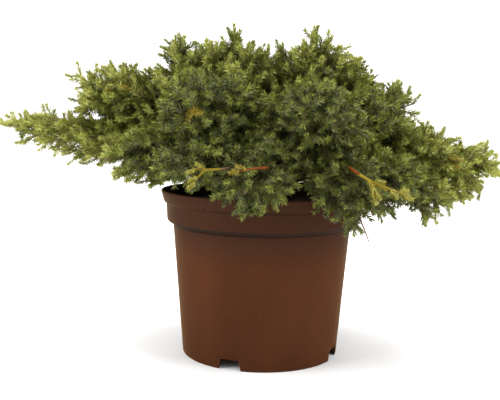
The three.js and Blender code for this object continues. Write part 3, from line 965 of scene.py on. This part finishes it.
# %% Say how dense the twigs are
GOLDEN_ANGLE = math.pi * (3 - math.sqrt(5))
BACK_SHARE = -0.8
TWIG_LEAN = 0.8
TWIG_BEND = 0.45
TWIG_ONWARD = 0.12
TWIG_JITTER = 0.5
LAYER_SEEDS = 100
FOOT_RANGE = (0.06, 0.97)
DRAWN_IN = (0, 0.1, 0.2, 0.3, 0.4)
LAYERS = (
    dict(area=2300, reach=(0.88, 1.0), leafy=56, within=0.975),
    dict(area=700, reach=(0.74, 0.9), leafy=42, within=0.92),
    dict(area=1400, reach=(0.5, 0.7), leafy=34, within=0.8),
)
STEM_END = dict(leafy=70, within=1.0)
STEM_REACH = 0.97
LEADING = dict(leafy=30, within=1.6)
LEADING_FOOT = 0.7
LEADING_SAG = -3
LEADING_SHORT = 6
LEADING_TIPS = (
    ("top_middle", (-29, 2, 306)),
    ("top_right", (42, -6, 303)),
    ("top_left", (-90, 2, 293)),
    ("top_left", (-95, 2, 279)),
    ("top_left", (-51, 2, 289)),
    ("left_upper", (-131, 22, 271)),
    ("left_upper", (-188, 22, 261)),
    ("left_upper", (-186, 22, 233)),
    ("left_arm", (-213, 4, 226)),
    ("shoulder_right", (85, 6, 278)),
    ("right_upper", (122, -20, 253)),
    ("right_upper", (134, -20, 248)),
    ("right_arm", (144, -12, 220)),
    ("right_arm", (162, -12, 215)),
    ("right_arm", (211, -12, 198)),
    ("right_arm", (188, -24, 154)),
    ("left_front", (-124, -72, 168)),
    ("front_right", (71, -131, 134)),
)
TWIG_GAP_MARGIN = 3
GAPS = (
    (-64, 298, 9),
    (-10, 302, 10),
    (3, 290, 4),
    (28, 302, 8),
    (69, 298, 9),
    (108, 265, 8),
    (136, 234, 6),
    (186, 209, 8),
    (215, 165, 8),
    (122, 142, 7),
    (90, 135, 7),
    (-98, 274, 4),
    (-182, 250, 9),
    (-192, 223, 6),
    (-238, 201, 8),
    (-215, 187, 6),
    (-189, 181, 5),
    (-133, 179, 7),
)
POT_GAP = 1.5
SHARED_EDGE = 0.03
POT_TOP = 154
LIP_FOOT = 143
LIP_RADIUS = 95
BAND_START = 121
BAND_RADIUS = 90


def pot_radius(z):
    """Outside radius of the pot at a height."""
    wall = FOOT_RADIUS + WALL_SLOPE * z
    return np.where(z > LIP_FOOT, LIP_RADIUS, np.where(z > BAND_START, BAND_RADIUS, wall))


def has_room(points, owners, reach=1.0, edge=SHARED_EDGE, gap=POT_GAP):
    """True where a point lies in its own mass's space and clear of the pot."""
    shares = shares_out(points)
    rows = np.arange(len(points))
    own = shares[rows, owners]
    shares[rows, owners] = np.inf
    z = points[:, 2]
    beside = (np.hypot(points[:, 0], points[:, 1]) > pot_radius(z) + gap) & (z > gap)
    clear = (z > POT_TOP + gap) | beside
    return (own <= reach) & (own < shares.min(axis=1) + edge) & clear


# %% [markdown]
# The points for the tips are worked out in the shares of each egg, from 0 in its middle to 1 on
# its surface. In those measures the same rule fits a long arm and a round tuft.

# %% Let the twigs of every layer grow
def twigs_of(index, layer, order):
    """Feet, directions in the egg and reach of one layer of a mass's twigs."""
    draw = seeded_draws(SEED + index + LAYER_SEEDS * order)
    radius = math.sqrt(SPREADS[index] * RISES[index])
    half = HALVES[index]
    count = round(4 * math.pi * radius * (radius + half) / 2 / layer["area"])
    feet, ways, reach = [], [], []
    for i in range(count):
        along = 1 - (2 * i + 1) / count * (0.5 - BACK_SHARE / 2)
        ring = math.sqrt(1 - along * along)
        angle = i * GOLDEN_ANGLE + index + TWIG_JITTER * (next(draw) - 0.5)
        reach.append(between(layer["reach"], next(draw)))
        # The solids' rule draws the length and the roll of a spray here, so both are skipped.
        next(draw)
        next(draw)
        behind = (along * half - TWIG_LEAN * radius * ring) / half
        share = min(max((behind + 1) / 2, FOOT_RANGE[0]), FOOT_RANGE[1])
        feet.append(on_line(STEMS[index], share))
        ways.append((along, ring * math.cos(angle), ring * math.sin(angle)))
    return np.array(feet), np.array(ways), np.array(reach)


def in_gap(points, margin=0):
    """True where a point lies in one of the crown's gaps, which run from front to back."""
    gaps = np.array(GAPS, float)
    distances = np.linalg.norm(points[:, None, [0, 2]] - gaps[:, :2], axis=2)
    return np.any(distances < gaps[:, 2] + margin, axis=1)


def grown_layer(order, layer):
    """All twigs of a layer, as lines of three points, with their masses."""
    lines, owners = [], []
    for index in range(len(MASSES)):
        feet, ways, reach = twigs_of(index, layer, order)
        waiting = np.ones(len(feet), bool)
        tips = np.zeros_like(feet)
        for share in DRAWN_IN:
            tries = points_in_egg(index, ways * (reach * (1 - share))[:, None])
            fits = waiting & has_room(tries, np.full(len(tries), index))
            tips[fits] = tries[fits]
            waiting &= ~fits
        kept = ~waiting & ~in_gap(tips, TWIG_GAP_MARGIN)
        feet, tips = feet[kept], tips[kept]
        run = np.linalg.norm(tips - feet, axis=1, keepdims=True)
        onward = unit(STEMS[index][2] - STEMS[index][0])
        bends = feet + run * (TWIG_BEND * unit(tips - feet) + TWIG_ONWARD * onward)
        lines.append(np.stack([feet, bends, tips], axis=1))
        owners.append(np.full(len(feet), index))
    return np.concatenate(lines), np.concatenate(owners)


def stem_ends():
    """The stems themselves, drawn out to the tips of their eggs, as leafy lines."""
    lines = np.array(STEMS)
    lines[:, 2] = MIDDLES + STEM_REACH * (TIPS - MIDDLES)
    return lines, np.arange(len(MASSES))


def leading_twigs():
    """A few named twigs that reach further than the rest, each from the stem of its mass."""
    owners = np.array([MASS_NAMES.index(name) for name, _ in LEADING_TIPS])
    tips = np.array([tip for _, tip in LEADING_TIPS], float)
    feet = np.array([on_line(STEMS[owner], LEADING_FOOT) for owner in owners])
    tips -= LEADING_SHORT * unit(tips - feet)
    bends = (feet + tips) / 2 + (0, 0, LEADING_SAG)
    return np.stack([feet, bends, tips], axis=1), owners


grown = [grown_layer(order, layer) for order, layer in enumerate(LAYERS)]
grown += [stem_ends(), leading_twigs()]
TWIGS = np.concatenate([lines for lines, _ in grown])
TWIG_OWNERS = np.concatenate([owners for _, owners in grown])
TWIG_LAYERS = np.concatenate([np.full(len(owners), i) for i, (_, owners) in enumerate(grown)])
KINDS = (*LAYERS, STEM_END, LEADING)
print("twigs of each kind:", np.bincount(TWIG_LAYERS).tolist())

# %% [markdown]
# ## Bare leaders
# Here and there an older, orange-brown leader lies bare on the surface of the crown and ends in
# yellow new growth. One thin twiglet hangs down at the front, and beside it a dry thread. These
# few are given one by one. Each starts inside its mass, so that it is carried there.

# %% Name the bare leaders
# Each row: mass, start, bend and end, radii at both ends, woods, and where the second wood starts.
LEADERS = (
    ("front_right", (70, -105, 184), (74, -139, 181), (89, -131, 173), (1.5, 1), "orange yellow", 0.45),
    ("front_right", (80, -133, 178), (86, -138, 174), (87, -139, 166), (1.0, 0.5), "yellow yellow", 1),
    ("front_right", (86, -131, 174), (100, -136, 170), (112, -126, 164), (1.3, 0.5), "yellow yellow", 1),
    ("front_middle", (4, -126, 184), (-4, -152, 186), (-17, -149, 183), (1.1, 0.7), "orange orange", 1),
    ("front_left", (-26, -122, 183), (-36, -154, 183), (-53, -150, 184), (1.1, 0.6), "young yellow", .3),
    ("front_left", (-44, -151, 183), (-47, -153, 180), (-51, -152, 175), (0.8, 0.5), "yellow yellow", 1),
    ("front_right", (66, -112, 158), (69, -124, 151), (72, -121, 140), (0.7, 0.3), "young green", 0.8),
    ("front_right", (74, -112, 152), (80, -124, 142), (86, -120, 126), (0.8, 0.5), "old old", 1),
)
LEADER_WOODS = dict(
    orange=orange_bark, yellow=yellow_wood, young=young_bark, green=green_wood, old=old_bark
)
LEADER_ROOM = 4
TINTED = (
    dict(place=(-139, -26, 247), within=13, colour=GOLD),
    dict(place=(-55, -122, 227), within=12, colour=GOLD),
    dict(place=(-17, -51, 268), within=11, colour=GOLD),
    dict(place=(172, -61, 188), within=12, colour=GOLD),
    dict(place=(-27, -148, 187), within=9, colour=GOLD),
    dict(place=(-7, -148, 190), within=7, colour=GOLD),
    dict(place=(112, -116, 165), within=9, colour=YELLOW),
    dict(place=(100, -129, 168), within=8, colour=YELLOW),
    dict(place=(-58, -142, 190), within=9, colour=YELLOW),
    dict(place=(-86, -128, 192), within=12, colour=FRESH),
)
LEADER_LINES = np.array([row[1:4] for row in LEADERS], float)
LEADER_POINTS = on_line(LEADER_LINES.transpose(1, 0, 2)[:, :, None], np.linspace(0, 1, 12)[None])
print("bare leaders:", len(LEADERS), "and coloured places:", len(TINTED))

# %% [markdown]
# ## Shoots
# The outer part of every twig carries short side shoots, set round it by the golden angle and
# pointing forwards. They are longest in the middle, so a twig with its shoots is a plume. The
# last shoot carries on past the twig's tip. All bend a little towards the light.

# %% Set the shoots on the twigs
SHOOT_SPACING = 4.5
SHOOT_LENGTHS = (11, 16)
SHOOT_ANGLES = (42, 66)
SHOOT_JITTER = 12
SHOOT_ONWARD = 0.25
SHOOT_LIFT = (0, 0, 0.25)
LONGEST_AT = 0.7
FULL_FROM = 0.35
END_SHARE = 0.6
LENGTH_CHANCE = (0.85, 1.1)
LEAFY_MOST = 0.86
FIRST_SHOOT = 0.4
ANY_TURN = 6.28
TIP_SHOOT = 12
TIP_REST = 4
TIP_LIFT = (0, 0, 0.15)
SHOOT_EDGE = 0.06
SHOOT_POT_GAP = 4


def chance_axes(along):
    """Two directions square to every way along and to each other, turned by chance."""
    across = unit(np.cross(along, unit(chance.normal(size=(len(along), 1, 3)))))
    return across, np.cross(along, across)


def set_shoots():
    """Start, first and last direction, length, twig and mass of every shoot."""
    lines = TWIGS.transpose(1, 0, 2)
    run = np.linalg.norm(TWIGS[:, 2] - TWIGS[:, 0], axis=1)
    leafy = np.minimum(np.array([kind["leafy"] for kind in KINDS])[TWIG_LAYERS], LEAFY_MOST * run)
    step = np.arange(int(leafy.max() / SHOOT_SPACING) + 1)[None]
    behind = SHOOT_SPACING * (step + FIRST_SHOOT) + chance.uniform(-1, 1, (len(TWIGS), step.size))
    valid = behind < leafy[:, None]
    share = np.clip(1 - behind / run[:, None], 0, 1)
    starts = on_line(lines[:, :, None], share)
    along = heading(lines[:, :, None], share)
    across, above = chance_axes(along)
    turn = step * GOLDEN_ANGLE + chance.uniform(0, ANY_TURN, (len(TWIGS), 1))
    outward = turned(turn, across, above)
    place = np.clip(behind / leafy[:, None], 0, 1)
    lean = np.radians(between(SHOOT_ANGLES, place))
    lean = lean + np.radians(chance.normal(0, SHOOT_JITTER, lean.shape))
    first = turned(lean, along, outward)
    last = unit(first + SHOOT_ONWARD * along + np.array(SHOOT_LIFT))
    length = between(SHOOT_LENGTHS, np.sin(np.pi * place**LONGEST_AT))
    length = length * between((END_SHARE, 1), np.clip(place / FULL_FROM, 0, 1))
    length = length * chance.uniform(*LENGTH_CHANCE, length.shape)
    rows = np.arange(len(TWIGS))
    twig = np.broadcast_to(rows[:, None], valid.shape)
    tip_share = 1 - (TIP_SHOOT + TIP_REST) / run
    tip_way = heading(lines, tip_share)
    every = dict(
        start=np.vstack([starts[valid], on_line(lines, tip_share)]),
        first=np.vstack([first[valid], tip_way]),
        last=np.vstack([last[valid], unit(tip_way + np.array(TIP_LIFT))]),
        length=np.concatenate([length[valid], np.full(len(TWIGS), TIP_SHOOT)]),
        twig=np.concatenate([twig[valid], rows]),
    )
    every["mass"] = TWIG_OWNERS[every["twig"]]
    return every


def change_of(shoots, share):
    """Shares of the change in direction from the start of each bent shoot to its tip."""
    return share * (shoots["last"] - shoots["first"])[:, None]


def along_shoot(shoots, share):
    """Points on bent shoots at shares of their length."""
    share = share[..., None]
    bent = share * shoots["first"][:, None] + change_of(shoots, share**2 / 2)
    return shoots["start"][:, None] + bent * shoots["length"][:, None, None]


def tips_of(shoots):
    """The tips of bent shoots."""
    return along_shoot(shoots, np.ones((len(shoots["start"]), 1)))[:, 0]


def only(shoots, kept):
    """The shoots that are kept."""
    return {name: values[kept] for name, values in shoots.items()}


shoots = set_shoots()
shoot_tips = tips_of(shoots)
shoot_kinds = TWIG_LAYERS[shoots["twig"]]
within = np.array([kind["within"] for kind in KINDS])[shoot_kinds]
roomy = has_room(shoot_tips, shoots["mass"], reach=within, edge=SHOOT_EDGE, gap=SHOOT_POT_GAP)
middles = (shoot_tips + shoots["start"])[:, None] / 2
from_leaders = np.linalg.norm(middles - LEADER_POINTS.reshape(1, -1, 3), axis=2)
roomy &= ~in_gap(shoot_tips) | (shoot_kinds == KINDS.index(LEADING))
shoots = only(shoots, roomy & (np.min(from_leaders, axis=1) > LEADER_ROOM))
print("shoots:", len(shoots["start"]), "of", len(roomy))

# %% [markdown]
# The bare leaders get a few shoots of their own at their ends.

# %% Add the leaders' own shoots
LEADER_SHOOTS = (
    dict(leader=0, shares=(0.75, 0.9, 1.0), length=8, colour=YELLOW),
    dict(leader=1, shares=(0.6, 0.85, 1.0), length=6, colour=YELLOW),
    dict(leader=2, shares=(0.5, 0.75, 1.0), length=8, colour=YELLOW),
    dict(leader=3, shares=(0.8, 1.0), length=7, colour=GOLD),
    dict(leader=4, shares=(0.7, 0.9), length=7, colour=YELLOW),
    dict(leader=5, shares=(0.7, 1.0), length=6, colour=YELLOW),
    dict(leader=6, shares=(0.45, 0.6, 0.72, 0.84, 1.0), length=9, colour=SHADE),
)
OWN_SPREAD = 0.6
OWN_ONWARD = 0.4


def leader_shoots():
    """Shoots at named shares of the leaders, turned to one side and the other in turn."""
    made = {name: [] for name in ("start", "first", "last", "length", "twig", "mass", "colour")}
    for entry in LEADER_SHOOTS:
        line = LEADER_LINES[entry["leader"]]
        mass = MASS_NAMES.index(LEADERS[entry["leader"]][0])
        for turn, share in enumerate(entry["shares"]):
            way = heading(line, share)
            side = unit(np.cross(way, [0, 1, 0])) * (1 if turn % 2 else -1)
            first = unit(way + (OWN_SPREAD * side if share < 1 else 0))
            last = unit(first + OWN_ONWARD * way)
            values = (on_line(line, share), first, last, entry["length"], 0, mass, entry["colour"])
            for column, value in zip(made.values(), values):
                column.append(value)
    return {name: np.array(values) for name, values in made.items()}


own_shoots = leader_shoots()
print("leaders' own shoots:", len(own_shoots["start"]))
# %% [markdown]
# ## Which shoot gets which colour
# The deeper a shoot sits, the darker it is, partly because old needles in the shade are dull and
# partly as painted shade. The long arms to both sides are lighter, for their fresh growth and as
# painted light. The top is lighter as painted light from above, and the front darker as painted
# shade. A little chance per twig and per shoot keeps neighbours apart, and a few named places
# turn golden or yellow.

# %% Choose each shoot's colour
# The arms are lighter for fresh growth and as painted light, the top lighter as painted light from
# above, the front darker as painted shade.
FRESH_GROWTH_AND_PAINTED_LIGHT = (
    dict(axis=0, start=-70, end=-200, by=2.3),
    dict(axis=0, start=90, end=190, by=1.8),
    dict(axis=2, start=235, end=295, by=0.8),
    dict(axis=1, start=-40, end=-110, by=-1.6),
)
DARKEST = 0.2
LIGHTER_OUTSIDE = 2.0
DARK_DEPTH = 0.45
DEPTH_RANGE = 0.5
TWIG_CHANCE = 0.45
SHOOT_CHANCE = 0.4
TINTED_SHARE = 0.7


def shoot_colours(shoots):
    """Numbers in the range of needle colours, from DEEP upwards."""
    rows = np.arange(len(shoots["start"]))
    tips = tips_of(shoots)
    depth = shares_out(tips)[rows, shoots["mass"]]
    # Deeper shoots get darker colours: partly dull old needles, partly painted shade.
    value = DARKEST + LIGHTER_OUTSIDE * np.clip((depth - DARK_DEPTH) / DEPTH_RANGE, 0, 1)
    for change in FRESH_GROWTH_AND_PAINTED_LIGHT:
        share = (tips[:, change["axis"]] - change["start"]) / (change["end"] - change["start"])
        value += change["by"] * np.clip(share, 0, 1)
    value += chance.normal(0, TWIG_CHANCE, len(TWIGS))[shoots["twig"]]
    value += chance.normal(0, SHOOT_CHANCE, len(rows))
    colours = np.clip(np.round(value), DEEP, PALE).astype(int)
    for spot in TINTED:
        near = np.linalg.norm(tips - np.array(spot["place"], float), axis=1) < spot["within"]
        colours[near & (chance.random(len(rows)) < TINTED_SHARE)] = spot["colour"]
    return colours


shoots["colour"] = shoot_colours(shoots)
shoots = {name: np.concatenate([shoots[name], own_shoots[name]]) for name in shoots}
print("shoots of each colour:", np.bincount(shoots["colour"], minlength=len(NEEDLE_COLOURS)).tolist())

# %% [markdown]
# ## Needles
# A juniper's needle is a short awl with a groove along its upper side, and needles stand in
# whorls of three. Each one here is two long triangles that meet at a keel, with the wings raised
# a little, so it has the groove, its own outline and two sides that catch the light
# differently. Whorls near the shoot's tip lie closer to it.

# %% Shape the needles of a set of shoots
WHORLS = 9
WHORL_NEEDLES = 3
TIP_NEEDLES = 6
FIRST_WHORL = 0.06
WHORL_RANGE = 0.9
TIP_WHORL = 0.97
WHORL_JITTER = 0.012
TURN_JITTER = 0.2
NEEDLE_LENGTH = 5.8
NEEDLE_LENGTHS = (0.86, 1.12)
NEEDLE_WIDTH = 1.5
NEEDLE_ANGLES = (64, 44)
NEEDLE_JITTER = 7
TIP_NEEDLE_ANGLE = 34
SHORTER_AT_TIP = 0.12
FULL_SHOOT = 11
NEEDLE_SCALES = (0.7, 1.08)
ON_SHOOT = (0.02, 1)
NEEDLE_FOOT = 0.35
NEEDLE_WIDEST = 0.34
NEEDLE_KEEL = 0.3
NEEDLE_CURVE = 0.09
FRESH_FROM = 0.7


def needles_of(shoots):
    """Corners, triangles and colours of the needles on some shoots."""
    order = np.arange(WHORLS * WHORL_NEEDLES + TIP_NEEDLES)
    every = (len(shoots["start"]), len(order))
    whorl = np.minimum(order // WHORL_NEEDLES, WHORLS)
    at_tip = whorl == WHORLS
    share = np.where(at_tip, TIP_WHORL, FIRST_WHORL + WHORL_RANGE * whorl / WHORLS)
    share = np.clip(share + chance.normal(0, WHORL_JITTER, every), *ON_SHOOT)
    turn = order % WHORL_NEEDLES * (2 * np.pi / WHORL_NEEDLES) + whorl * (np.pi / WHORL_NEEDLES)
    turn = np.where(at_tip, order * (2 * np.pi / TIP_NEEDLES), turn)
    turn = turn + chance.normal(0, TURN_JITTER, every)
    lean = np.where(at_tip, TIP_NEEDLE_ANGLE, between(NEEDLE_ANGLES, share))
    lean = np.radians(lean + chance.normal(0, NEEDLE_JITTER, every))
    size = NEEDLE_LENGTH * chance.uniform(*NEEDLE_LENGTHS, every)
    scale = np.clip(shoots["length"][:, None] / FULL_SHOOT, *NEEDLE_SCALES)
    size *= (1 - SHORTER_AT_TIP * share) * scale
    along = unit(shoots["first"][:, None] + change_of(shoots, share[..., None]))
    across, above = chance_axes(along)
    outward = turned(turn, across, above)
    way = turned(lean, along, outward)
    groove = unit(along - np.sum(along * way, axis=2, keepdims=True) * way)
    foot = along_shoot(shoots, share) + NEEDLE_FOOT * outward
    length = size[..., None]
    widest = foot + NEEDLE_WIDEST * length * way + NEEDLE_KEEL * NEEDLE_WIDTH * groove
    tip = foot + length * way + NEEDLE_CURVE * length * groove
    half = NEEDLE_WIDTH / 2 * np.cross(way, groove)
    corners = np.stack([foot, widest + half, tip, widest - half], axis=2).reshape(-1, 3)
    faces = repeated([(0, 1, 2), (0, 2, 3)], 4, share.size)
    change = (share > FRESH_FROM) + chance.integers(-1, 2, every)
    base = shoots["colour"][:, None]
    colours = np.where(base <= FRESH, np.clip(base + change, DEEP, PALE), base)
    return corners, faces, np.repeat(colours.ravel(), 2)


# %% [markdown]
# The needles are joined into a few large pieces by region. Each piece stands for the masses of
# its region and stays well under two hundred thousand triangles, which keeps it easy to handle.

# %% Make the needles, region by region
REGIONS = {
    "needles_left": ("left_arm", "left_upper", "left_front"),
    "needles_back_left": ("left_back", "back_left"),
    "needles_back_right": ("back_right", "right_back"),
    "needles_right": ("right_arm", "right_front", "right_upper"),
    "needles_front": ("front_right", "front_middle", "front_left"),
    "needles_brow": ("brow_left", "brow_right", "shoulder_right"),
    "needles_top": ("top_left", "top_middle", "top_right", "back_upper"),
}
MOST_TRIANGLES = 200_000
total = 0
for region, names in REGIONS.items():
    members = [MASS_NAMES.index(name) for name in names]
    here = only(shoots, np.isin(shoots["mass"], members))
    points, faces, colours = needles_of(here)
    if len(faces) >= MOST_TRIANGLES:
        raise ValueError(f"{region} has {len(faces)} triangles, so its masses need two pieces")
    total += len(faces)
    needles = mesh_from_arrays(region, points, faces, colours, needle_finishes)
    part_of_plant(needles, "needles", *("foliage_" + name for name in names))
print("needle triangles:", total)

# %% [markdown]
# ## The twigs' own wood
# Under the needles, each twig is a thin four-sided rod and each shoot a three-sided one that
# runs out to a point. They are seen only where the crown opens, as warm lines in the shade.

# %% Make rods along many bent lines at once
ROD_ASIDE = (0.31, 0.17, 0.93)


def rods(centres, radii, sides):
    """Rods through rows of centres, n rods of m points, ending in a point."""
    count, steps = centres.shape[:2]
    along = unit(np.gradient(centres, axis=1))
    across = unit(np.cross(along, ROD_ASIDE))
    above = np.cross(along, across)
    ring = turned(2 * np.pi * np.arange(sides) / sides, across[:, :, None], above[:, :, None])
    points = centres[:, :, None] + radii[None, :, None, None] * ring
    points = points[:, :-1].reshape(count, -1, 3)
    points = np.concatenate([points, centres[:, -1:]], axis=1)
    return points.reshape(-1, 3), repeated(tube_faces(steps - 2, sides), points.shape[1], count)


TWIG_RADII = np.array([1.1, 0.95, 0.8, 0.65, 0.5, 0])
TWIG_SIDES = 4
OLD_TWIG_FACES = 16
STALK_RADII = np.array([0.55, 0.42, 0])
STALK_SIDES = 3
STALK_END = 0.96
twig_shares = np.linspace(0, 1, len(TWIG_RADII))[None]
twig_centres = on_line(TWIGS.transpose(1, 0, 2)[:, :, None], twig_shares)
twig_points, twig_faces = rods(twig_centres, TWIG_RADII, TWIG_SIDES)
on_twig = np.arange(len(twig_faces)) % (len(twig_faces) // len(TWIGS))
twig_finish = (on_twig >= OLD_TWIG_FACES).astype(int)
twigs = mesh_from_arrays("twigs", twig_points, twig_faces, twig_finish, barks)
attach(twigs, "root")

stalk_shares = np.tile(np.linspace(0, STALK_END, len(STALK_RADII)), (len(shoots["start"]), 1))
stalk_centres = along_shoot(shoots, stalk_shares)
stalk_points, stalk_faces = rods(stalk_centres, STALK_RADII, STALK_SIDES)
# The stalks take their wood from their shoot's colour, so they follow its painted shade and painted
# light as well as its growth.
stalk_kind = (shoots["colour"] >= GREEN).astype(int) + (shoots["colour"] >= PALE)
stalk_finish = np.repeat(stalk_kind, len(stalk_faces) // len(stalk_centres))
stalk_woods = [young_bark, green_wood, yellow_wood]
stalks = mesh_from_arrays("stalks", stalk_points, stalk_faces, stalk_finish, stalk_woods)
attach(stalks, "root")
print("twig triangles:", len(twig_faces), "stalk triangles:", len(stalk_faces))

# %% [markdown]
# The leaders are the only twigs that can be seen from foot to tip, so they are round and get the
# relief of bark. Some change from one wood to another on their way.

# %% Make the bare leaders in one piece
wood_names = list(LEADER_WOODS)
leader_parts = []
leader_finish = []
for line, (*_, radii, woods, change) in zip(LEADER_LINES, LEADERS):
    leader_parts += tubes([line], taper(*radii), sides=8, rings=20, relief=0.14, grain=1.3)
    foot, tip = [wood_names.index(name) for name in woods.split()]
    beyond = np.linspace(0, 1, len(leader_parts[-1][1])) >= change
    leader_finish.append(np.where(beyond, tip, foot))
leader_points, leader_faces, leader_owner = joined(leader_parts)
leader_finish = np.concatenate(leader_finish)
leader_woods = list(LEADER_WOODS.values())
leaders = mesh_from_arrays("bare_leaders", leader_points, leader_faces, leader_finish, leader_woods)
smooth(leaders.data)
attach(leaders, "root")
print("leader triangles:", len(leader_owner))

# %% [markdown]
# ## Floor, light and camera
# The plant stands on a pale floor that curves up into a backdrop, so there is no horizon. A
# bright even sky and five soft lamps keep the shadows gentle: one at each side, one above, a weak
# one in front and one for the backdrop. The camera looks slightly down at the crown.

# %% Make the floor and backdrop in one sheet
FLOOR_HALF_WIDTH = 3.2
FLOOR_FRONT = -3.0
BACKDROP_START = 1.6
BACKDROP_RADIUS = 1.2
BACKDROP_TOP = 3.4
CURVE_STEPS = 12


def studio_sheet():
    """A sheet that runs from the front, back along the floor and up in a quarter circle."""
    section = [(FLOOR_FRONT, 0.0), (BACKDROP_START, 0.0)]
    for step in range(1, CURVE_STEPS + 1):
        angle = math.pi / 2 * step / CURVE_STEPS
        y = BACKDROP_START + BACKDROP_RADIUS * math.sin(angle)
        section.append((y, BACKDROP_RADIUS * (1 - math.cos(angle))))
    section.append((BACKDROP_START + BACKDROP_RADIUS, BACKDROP_TOP))
    points = [(x, y, z) for y, z in section for x in (-FLOOR_HALF_WIDTH, FLOOR_HALF_WIDTH)]
    faces = [(2 * i, 2 * i + 1, 2 * i + 3, 2 * i + 2) for i in range(len(section) - 1)]
    mesh = bpy.data.meshes.new("studio_sheet")
    mesh.from_pydata(points, [], faces)
    smooth(mesh)
    return mesh


paper_mottle = dict(Scale=3, Amount=0.01, Stretch=1)
paper = finish("pale_paper", colour(240, 240, 240), paper_mottle, rough=(0.9, 1))
sheet = linked("studio_sheet", studio_sheet())
sheet.data.materials.append(paper)
sheet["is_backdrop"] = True
print("floor and backdrop:", len(sheet.data.polygons), "faces")

# %% [markdown]
# Large lamps give soft shadows, because light reaches every needle from many sides. The two side
# lamps keep both arms bright, and the one above draws the crown's own shade.

# %% Light the studio
SKY_STRENGTH = 0.64

world = bpy.data.worlds.new("bright_sky")
world.use_nodes = True
sky = world.node_tree.nodes["Background"]
sky.inputs["Color"].default_value = (1, 1, 1, 1)
sky.inputs["Strength"].default_value = SKY_STRENGTH
bpy.context.scene.world = world


def soft_lamp(name, place, target, size, power):
    """A large square lamp that points at a target."""
    lamp = bpy.data.lights.new(name, "AREA")
    lamp.shape = "SQUARE"
    lamp.size = size
    lamp.energy = power
    thing = linked(name, lamp)
    thing.location = place
    thing.rotation_mode = "QUATERNION"
    thing.rotation_quaternion = (Vector(target) - Vector(place)).to_track_quat("-Z", "Y")


soft_lamp("left_lamp", (-1.1, -0.45, 0.6), (0, 0, 0.16), size=0.9, power=17)
soft_lamp("right_lamp", (1.1, -0.4, 0.5), (0, 0, 0.16), size=0.9, power=15)
soft_lamp("top_lamp", (0.0, -0.1, 1.7), (0, 0, 0.2), size=1.0, power=24)
soft_lamp("front_lamp", (0.0, -1.3, 1.15), (0, 0, 0.1), size=0.7, power=3)
soft_lamp("backdrop_lamp", (0.0, 1.3, 2.4), (0, 2.2, 0.3), size=1.6, power=60)
print("lamps:", len(bpy.data.lights))

# %% [markdown]
# The camera stands in front, a little above the pot, and is turned and tilted slightly. Its own
# three directions are worked out first, and make the columns of its turn.

# %% Place the camera
CAMERA_PLACE = (0.0, -0.7596, 0.2300)
CAMERA_TURN = -0.015
CAMERA_DOWN = 0.1127
CAMERA_ROLL = 0.0182
LENS = 58.157
SENSOR_WIDTH = 36

flat = math.cos(CAMERA_DOWN)
view_way = Vector(
    (math.sin(CAMERA_TURN) * flat, math.cos(CAMERA_TURN) * flat, -math.sin(CAMERA_DOWN))
)
level = Vector((math.cos(CAMERA_TURN), -math.sin(CAMERA_TURN), 0))
upward = level.cross(view_way)
right = level * math.cos(CAMERA_ROLL) + upward * math.sin(CAMERA_ROLL)
above = upward * math.cos(CAMERA_ROLL) - level * math.sin(CAMERA_ROLL)
turn = Matrix((right, above, -view_way)).transposed().to_4x4()
camera_data = bpy.data.cameras.new("camera")
camera_data.lens = LENS
camera_data.sensor_width = SENSOR_WIDTH
camera_data.sensor_fit = "HORIZONTAL"
camera = linked("camera", camera_data)
camera.matrix_world = Matrix.Translation(CAMERA_PLACE) @ turn
bpy.context.scene.camera = camera
bpy.context.scene.view_settings.view_transform = "Standard"
bpy.context.scene.view_settings.look = "None"
print("camera:", CAMERA_PLACE, "with a lens of", LENS, "mm")

# %% [markdown]
# ## Measure the result
# The dressed plant has to stay in the space that the frame gives it, so its box is written down
# next to the frame's.

# %% Write the two boxes and finish
piece_low, piece_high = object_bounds()
sizes = {
    "frame_low": list(frame_low),
    "frame_high": list(frame_high),
    "piece_low": list(piece_low),
    "piece_high": list(piece_high),
}
print({name: [round(value, 4) for value in corner] for name, corner in sizes.items()})
